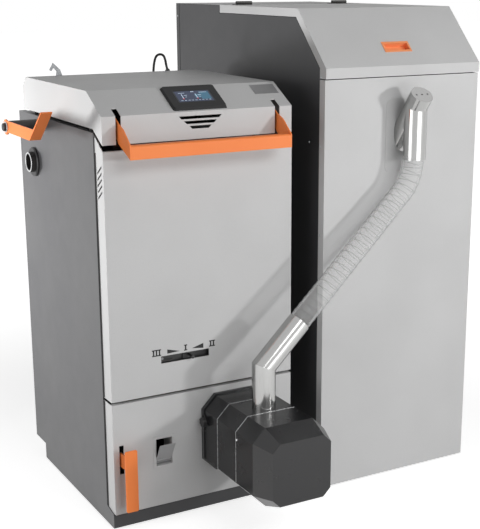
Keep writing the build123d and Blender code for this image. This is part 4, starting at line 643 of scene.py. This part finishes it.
def make_hose():
    """A clear ribbed hose, open at both ends, with a spring wire wound in its wall."""
    route = feed_route()
    line, length = even_line(spline_line(route, "hose_line"), HOSE_STEP_M)
    rings = steady_rings(line)
    last = len(line) - 1
    step = 1000 * length / last
    cuff = int(CUFF_L / step) + 1
    sides = HOSE_SIDES

    def ribbed(i, a):
        if i <= cuff or i >= last - cuff:
            return HOSE_R
        phase = i * step / RIB_PITCH - a / (2 * math.pi)
        ease = min(1.0, (i - cuff) / RIB_EASE, (last - cuff - i) / RIB_EASE)
        return HOSE_R + RIB_RISE * ease * (0.5 + 0.5 * math.cos(2 * math.pi * phase)) ** RIB_SHARPNESS

    outer = tube_points(rings, ribbed, sides)
    inner = tube_points(rings, lambda i, a: HOSE_BORE, sides)
    faces = tube_faces(len(line), sides) + tube_faces(len(line), sides, len(outer), True)
    end = last * sides
    for k in range(sides):
        n = (k + 1) % sides
        faces.append((n, k, len(outer) + k, len(outer) + n))
        faces.append((end + k, end + n, len(outer) + end + n, len(outer) + end + k))
    hose = make_piece("clear_hose", (outer + inner, faces), HOSE_WALL, None, True)

    wound = []
    turns = (last - 2 * cuff) * step / RIB_PITCH
    count = int(turns * WIRE_TURN_STEPS)
    mid_wall = (HOSE_R + HOSE_BORE) / 2000
    for s in range(count + 1):
        at = cuff + (last - 2 * cuff) * s / count
        i = min(last - 1, int(at))
        centre, side, other = rings[i]
        here = centre.lerp(line[i + 1], at - i)
        a = 2 * math.pi * at * step / RIB_PITCH
        wound.append(here + (side * math.cos(a) + other * math.sin(a)) * mid_wall)
    winding = (tube_points(steady_rings(wound), lambda i, a: WIRE_R, WIRE_SIDES),
               tube_faces(len(wound), WIRE_SIDES))
    wire = make_piece("hose_wire", winding, HOSE_WIRE, None, True)
    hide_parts("pellet_hose")
    for made in (hose, wire):
        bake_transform(made)


make_hose()


# Panel cable

CABLE_X = 510.0
CABLE_R = 4.0
CABLE_STEP_M = 0.002
CABLE_SIDES = 14
# The hood's rear slope in Y and Z, with the gland in its middle.
HOOD_BACK = (Vector((627.5, 1291.4)), Vector((659.2, 1259.9)))
GLAND_L = 22.0
GLAND_GAP = 0.3
# The cable starts this deep in the gland and runs straight this far past it.
CABLE_INSET = 2
CABLE_STRAIGHT = 6
# The loop, in X from the gland's middle, in Y from its tip and in Z from the floor.
CABLE_LOOP = ((-3, 11, 1334), (-14, 14, 1345), (-33, 15, 1341), (-41, 16, 1318), (-43, 20, 1285),
              (-43, 24, 1250), (-43, 26, 1215), (-43, 26, 1172))


def make_cable():
    """The touch panel's cable leaves its gland, loops over and goes down through the deck."""
    high, low = HOOD_BACK
    out = Vector((high.y - low.y, low.x - high.x)).normalized()
    face = (high + low) / 2 + out * GLAND_GAP
    tip = face + out * GLAND_L
    start = face + out * CABLE_INSET
    straight = tip + out * CABLE_STRAIGHT
    route = [spot(CABLE_X, start.x, start.y), spot(CABLE_X, straight.x, straight.y)]
    route += [spot(CABLE_X + across, tip.x + behind, z) for across, behind, z in CABLE_LOOP]
    line, length = even_line(spline_line(route, "cable_line"), CABLE_STEP_M)
    sides = CABLE_SIDES
    faces = tube_faces(len(line), sides)
    faces.append(tuple(range(sides))[::-1])
    faces.append(tuple((len(line) - 1) * sides + k for k in range(sides)))
    form = (tube_points(steady_rings(line), lambda i, a: CABLE_R, sides), faces)
    cable = make_piece("panel_lead", form, RUBBER, None, True)
    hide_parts("panel_cable")
    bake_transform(cable)


make_cable()


# Air selector: printed marks and the stop in its slot

INK_T = 0.15
FRONT_Y = -9.4
NUMERAL_PITCH = 9.4
STEM_W = 4.6
SERIF_H = 3.2
SERIF_REACH = 5.2
# Each numeral's middle in X, its foot in Z, its count of stems and its height.
NUMERALS = ((147.5, 524.5, 3, 20), (241.5, 528, 1, 18), (329, 527, 2, 19))
ARROWS = (((182, 527.5), (223, 529.5), (182, 540.5)), ((262, 531.5), (300, 526.5), (300, 542)))
# The stop is a fork, so that the selector's stem can slide in between its arms.
STOP_FORK = ((163.5, 501), (207, 501), (207, 505.2), (176, 505.2), (176, 516.4), (207, 516.4),
             (207, 520.5), (163.5, 520.5))
STOP_Y = 1.7
STOP_T = 1.2
STOP_SCREW = spot(169.7, 0.5, 511)


def front_plate(outline, y, depth):
    """A flat plate that faces the front, from its outline in X and Z."""
    return cut_plate([spot(x, y, z) for x, z in outline][::-1], FRONT, depth)


def bar(x0, z0, x1, z1):
    """The outline of an upright bar, from its lower left to its upper right corner."""
    return [(x0, z0), (x1, z0), (x1, z1), (x0, z1)]


def roman_numeral(x, z, count, height):
    """A Roman numeral: upright stems between two serif lines."""
    left = x - (count - 1) * NUMERAL_PITCH / 2
    reach = (count - 1) * NUMERAL_PITCH / 2 + SERIF_REACH
    strokes = [bar(x - reach, z, x + reach, z + SERIF_H),
               bar(x - reach, z + height - SERIF_H, x + reach, z + height)]
    for i in range(count):
        middle = left + i * NUMERAL_PITCH
        strokes.append(bar(middle - STEM_W / 2, z, middle + STEM_W / 2, z + height))
    return strokes


def mark_selector():
    """The positions are printed over the slot, and the stop is screwed in behind it."""
    shapes = []
    for numeral in NUMERALS:
        shapes += roman_numeral(*numeral)
    shapes += ARROWS
    marks = [front_plate(shape, FRONT_Y, INK_T) for shape in shapes]
    make_piece("selector_marks", together(marks), INK, "frame")
    make_piece("selector_stop", front_plate(STOP_FORK, STOP_Y, STOP_T), ENAMEL, "frame")
    make_piece("selector_stop_screw", pan_screw(STOP_SCREW, FRONT, 4.0, 1.4), HOOK_ZINC, "frame",
               True)


mark_selector()


# Screws of the panels

HOPPER_LEFT = 684.6
HOPPER_RIGHT = 1257.6
BOILER_BACK = 697.5
HOPPER_BACK = 949
# In the hopper's sides: the place in Y, the radius of the heads and their heights.
SIDE_SCREWS = ((-42, 3.2, (1310, 1104.3, 834.2, 567)), (22, 2.6, (1111.7,)),
               (937, 3.4, (60, 560, 1060, 1460)))
# In the backs: the place in Y, the places across and the heights.
BACK_SCREWS = ((BOILER_BACK, (120, 486), (700, 1140)), (BOILER_BACK, (40, 566), (120, 640, 1140)),
               (HOPPER_BACK, (720, 971, 1222), (80, 520, 960, 1400)))
BACK_SCREW_R = 4


def drive_screws():
    """The heads of all panel screws, as one piece."""
    heads = []
    for y, radius, heights in SIDE_SCREWS:
        for z in heights:
            heads.append(pan_screw(spot(HOPPER_LEFT, y, z), LEFT, radius))
            heads.append(pan_screw(spot(HOPPER_RIGHT, y, z), RIGHT, radius))
    for y, columns, heights in BACK_SCREWS:
        for x in columns:
            for z in heights:
                heads.append(pan_screw(spot(x, y, z), BACK, BACK_SCREW_R))
    make_piece("panel_screws", together(heads), ZINC, "frame", True)


drive_screws()


# Touch panel and plate on the slope of the hood

SLOPE_LOW = Vector((0, -7.8, 1229.6))
SLOPE_HIGH = Vector((0, 100.0, 1291.4))
SLOPE_UP = (SLOPE_HIGH - SLOPE_LOW).normalized()
SLOPE_OUT = Vector((0, -SLOPE_UP.z, SLOPE_UP.y))
PANEL_X = 307.5
PANEL_T = 8.0
# The display lies this deep under the panel's face, and each patch of light is so thick.
SCREEN_DEPTH = 0.25
PATCH_T = 0.08
# Patches of the display: the middle across and up, half the width, half the height and the rise.
GROUND = (0, 0, 54, 25, 0)
GLOWS = ((36, 2, 15, 18, 0.08), (12, 0, 8, 9, 0.08))
HEADINGS = ((2, 21, 5, 1.4, 0.1), (-34, 16, 10, 0.8, 0.1), (34, 17, 12, 0.8, 0.18))
GAUGES_X = (-36, 8)
GAUGE_STROKES = ((0, 1, 1.2, 10, 0.18), (11, 5, 5, 1.0, 0.18), (10, -3, 3, 0.8, 0.18))
GAUGE_BULB = (0, -11, 2.2, 2.2, 0.2)
FOOT_LEFT = -44
FOOT_PITCH = 11
FOOT_COUNT = 9
FOOT_STROKE = (0, -19, 3.2, 0.8, 0.18)


def slope_plate(x0, x1, a0, a1, lift, depth):
    """A plate on the slope: across in X, along the slope from its middle, and so far above it."""
    middle = (SLOPE_LOW + SLOPE_HIGH) / 2 + SLOPE_OUT * lift
    outline = []
    for x, a in ((x0, a0), (x1, a0), (x1, a1), (x0, a1)):
        here = middle + SLOPE_UP * a
        outline.append(spot(x, here.y, here.z))
    return cut_plate(outline, SLOPE_OUT, depth)


def light_screen():
    """The display shows two plain gauges with strokes that spell nothing."""
    lift = PANEL_T - SCREEN_DEPTH

    def patch(along, form):
        x, a, half_x, half_a, rise = form
        x += along
        return slope_plate(PANEL_X + x - half_x, PANEL_X + x + half_x, a - half_a, a + half_a, lift + rise,
                           PATCH_T)

    navy = lit_pixels("display_ground", "16294C", 0.2)
    teal = lit_pixels("display_glow", "2C6A86", 0.25)
    pale = lit_pixels("display_stroke", "B8C8DA", 0.5)
    red = lit_pixels("display_red", "C04040", 0.4)
    make_piece("screen_ground", patch(0, GROUND), navy, "hood")
    make_piece("screen_glow", together([patch(0, glow) for glow in GLOWS]), teal, "hood")
    strokes = [patch(0, heading) for heading in HEADINGS]
    dots = []
    for x in GAUGES_X:
        strokes += [patch(x, stroke) for stroke in GAUGE_STROKES]
        dots.append(patch(x, GAUGE_BULB))
    for k in range(FOOT_COUNT):
        strokes.append(patch(FOOT_LEFT + FOOT_PITCH * k, FOOT_STROKE))
    make_piece("screen_strokes", together(strokes), pale, "hood")
    make_piece("screen_dots", together(dots), red, "hood")


light_screen()
# The bare plate at the right end of the slope.
make_piece("slope_plate", slope_plate(512, 592, 3, 49, 0.05, 0.8), PLATE_COAT, "hood")


# Small fittings

LEVER_AXIS = spot(-102.0, 518.0, 1152.0)
WASHER_SECTION = ((12.7, 0), (12.7, 2.0), (16.8, 2.0), (17.4, 1.4), (17.4, 0))
WASHER_SIDES = 40
PIPE_END = spot(-21.0, 566.0, 1031.0)
# The pipe's sawn end is bare metal.
PIPE_END_SECTION = ((26.2, 0), (26.6, 0.4), (31.2, 0.4), (31.6, 0))
PIPE_SIDES = 48
CATCH_AT = spot(294.9, -228, 312)


def make_fittings():
    """The lever's washer, the pipe's end ring and the burner's catch."""
    washer = turned(WASHER_SECTION, LEVER_AXIS, LEFT, WASHER_SIDES, False)
    make_piece("lever_washer", washer, BRIGHT_ZINC, "cleaning_arm", True)
    ring = turned(PIPE_END_SECTION, PIPE_END, LEFT, PIPE_SIDES, False)
    make_piece("pipe_end", ring, BRIGHT_ZINC, "frame")
    make_piece("burner_catch", pan_screw(CATCH_AT, LEFT, 3.4, 3.0), BRIGHT_ZINC, "door", True)


make_fittings()


MESH_X = 5.2
MESH_Y = (4, 34)
MESH_Z = (860, 1110)
MESH_T = 0.6


def upright(x, y_span, z_span):
    """The outline of an upright plate that faces sideways."""
    (y0, y1), (z0, z1) = y_span, z_span
    return [spot(x, y0, z0), spot(x, y1, z0), spot(x, y1, z1), spot(x, y0, z1)]


def line_vents():
    """Black mesh behind the slots of the upper panel's left edge."""
    make_piece("vent_lining", cut_plate(upright(MESH_X, MESH_Y, MESH_Z), RIGHT, MESH_T), RUBBER, "frame")


line_vents()


# Painted shade: black strips in the cover joints stand in for the shadow gap there.
SHADOW_GAP_Y = (45.0, 50.4)
SHADOW_GAP_T = 2.4
SHADOW_GAP_SIDES = ((2.9, LEFT), (603.1, RIGHT))
SHADOW_GAP_COVERS = ((54, 395), (408, 1125))


def make_shadow_gap_strips():
    """Black strips in the joints between the front covers and the side panels: painted shade for the shadow
    gap there.
    """
    strips = []
    for x, out in SHADOW_GAP_SIDES:
        for z_span in SHADOW_GAP_COVERS:
            outline = upright(x, SHADOW_GAP_Y, z_span)
            if out is LEFT:
                outline.reverse()
            strips.append(cut_plate(outline, out, SHADOW_GAP_T))
    make_piece("cover_joint_shadow_strips", together(strips), RUBBER, "frame")


make_shadow_gap_strips()


# Floor, backdrop and lamps

FLOOR_REACH = 30.0
FLOOR_TINT = "D9D9D9"
# The floor's own light, which fades to plain white between two distances in metres.
FLOOR_WHITE = 0.72
FLOOR_NEAR = 1.0
FLOOR_FAR = 2.4
SKY = 0.12
WHITE = (1, 1, 1, 1)
GRID_SPREAD = math.radians(50)


def white_room_rays(tree):
    """Is 1 for the rays that see a white room: the camera's, and those off metal or through plastic."""
    path = add(tree, "ShaderNodeLightPath", {})
    seen = add(tree, "ShaderNodeMath", {0: path.outputs["Is Camera Ray"], 1: path.outputs["Is Glossy Ray"]},
               operation="MAXIMUM")
    seen = add(tree, "ShaderNodeMath", {0: seen.outputs[0], 1: path.outputs["Is Transmission Ray"]},
               operation="MAXIMUM")
    return seen.outputs[0]


def lay_floor():
    """A pale floor that the camera sees as white, but for the object's shadow."""
    reach = FLOOR_REACH
    mesh = bpy.data.meshes.new("floor")
    mesh.from_pydata([(-reach, -reach, 0), (reach, -reach, 0), (reach, reach, 0), (-reach, reach, 0)], [],
                     [(0, 1, 2, 3)])
    floor = bpy.data.objects.new("floor", mesh)
    bpy.context.scene.collection.objects.link(floor)
    material, tree, shader, place = new_finish("pale_floor")
    shader.inputs["Base Color"].default_value = tint(FLOOR_TINT)
    shader.inputs["Roughness"].default_value = 1.0
    shader.inputs["Specular IOR Level"].default_value = 0.0
    away = add(tree, "ShaderNodeVectorMath", {0: place}, operation="LENGTH")
    glow = add(tree, "ShaderNodeMapRange", {"Value": away.outputs["Value"], "From Min": FLOOR_NEAR,
                                            "From Max": FLOOR_FAR, "To Min": FLOOR_WHITE, "To Max": 1.0})
    white = add(tree, "ShaderNodeEmission", {"Color": WHITE, "Strength": glow.outputs["Result"]})
    both = add(tree, "ShaderNodeAddShader", {0: shader.outputs[0], 1: white.outputs[0]})
    mix = add(tree, "ShaderNodeMixShader", {0: white_room_rays(tree), 1: shader.outputs[0],
                                            2: both.outputs[0]})
    tree.links.new(mix.outputs[0], tree.nodes["Material Output"].inputs["Surface"])
    mesh.materials.append(material)


def light_sky():
    """The camera, metal and clear plastic see a white room; everything else gets a weak, even light."""
    world = bpy.data.worlds.new("studio")
    bpy.context.scene.world = world
    world.use_nodes = True
    tree = world.node_tree
    tree.nodes.clear()
    weak = add(tree, "ShaderNodeBackground", {"Color": WHITE, "Strength": SKY})
    white = add(tree, "ShaderNodeBackground", {"Color": WHITE, "Strength": 1.0})
    mix = add(tree, "ShaderNodeMixShader", {0: white_room_rays(tree), 1: weak.outputs[0],
                                            2: white.outputs[0]})
    add(tree, "ShaderNodeOutputWorld", {"Surface": mix.outputs[0]})


def hang_softbox(name, at, aim, width, height, brightness):
    """A flat lamp of so many metres, aimed at a point; brightness 1 looks white."""
    data = bpy.data.lights.new(name, "AREA")
    data.shape = "RECTANGLE"
    data.size = width
    data.size_y = height
    data.energy = brightness * math.pi * width * height
    lamp = bpy.data.objects.new(name, data)
    bpy.context.scene.collection.objects.link(lamp)
    lamp.location = at
    lamp.rotation_mode = "QUATERNION"
    lamp.rotation_quaternion = (Vector(aim) - Vector(at)).to_track_quat("-Z", "Y")
    return lamp


lay_floor()
light_sky()
# Each lamp: its place, its aim, its width and height in metres, and its brightness.
hang_softbox("front_box", (0.75, -4.0, 3.2), (0.1, -0.2, 0.8), 3.0, 1.2, 5.6)
hang_softbox("front_strip", (0.75, -4.6, 0.5), (0.1, -0.2, 0.5), 3.0, 0.9, 2.6)
hang_softbox("left_box", (-3.2, -0.7, 0.95), (-0.573, 0.1, 0.8), 2.0, 1.8, 2.2)
back_lamp = hang_softbox("back_lamp", (-2.0, 2.9, 0.65), (-0.573, 0.1, 1.0), 0.4, 0.4, 33)
# The lamp behind has a grid that keeps it off the floor, and a filter that takes off its glare.
back_lamp.data.spread = GRID_SPREAD
back_lamp.visible_glossy = False
hang_softbox("key_lamp", (2.6, -4.0, 1.5), (0.1, -0.3, 0.8), 0.4, 0.4, 125)

bpy.context.scene.view_settings.view_transform = "Standard"
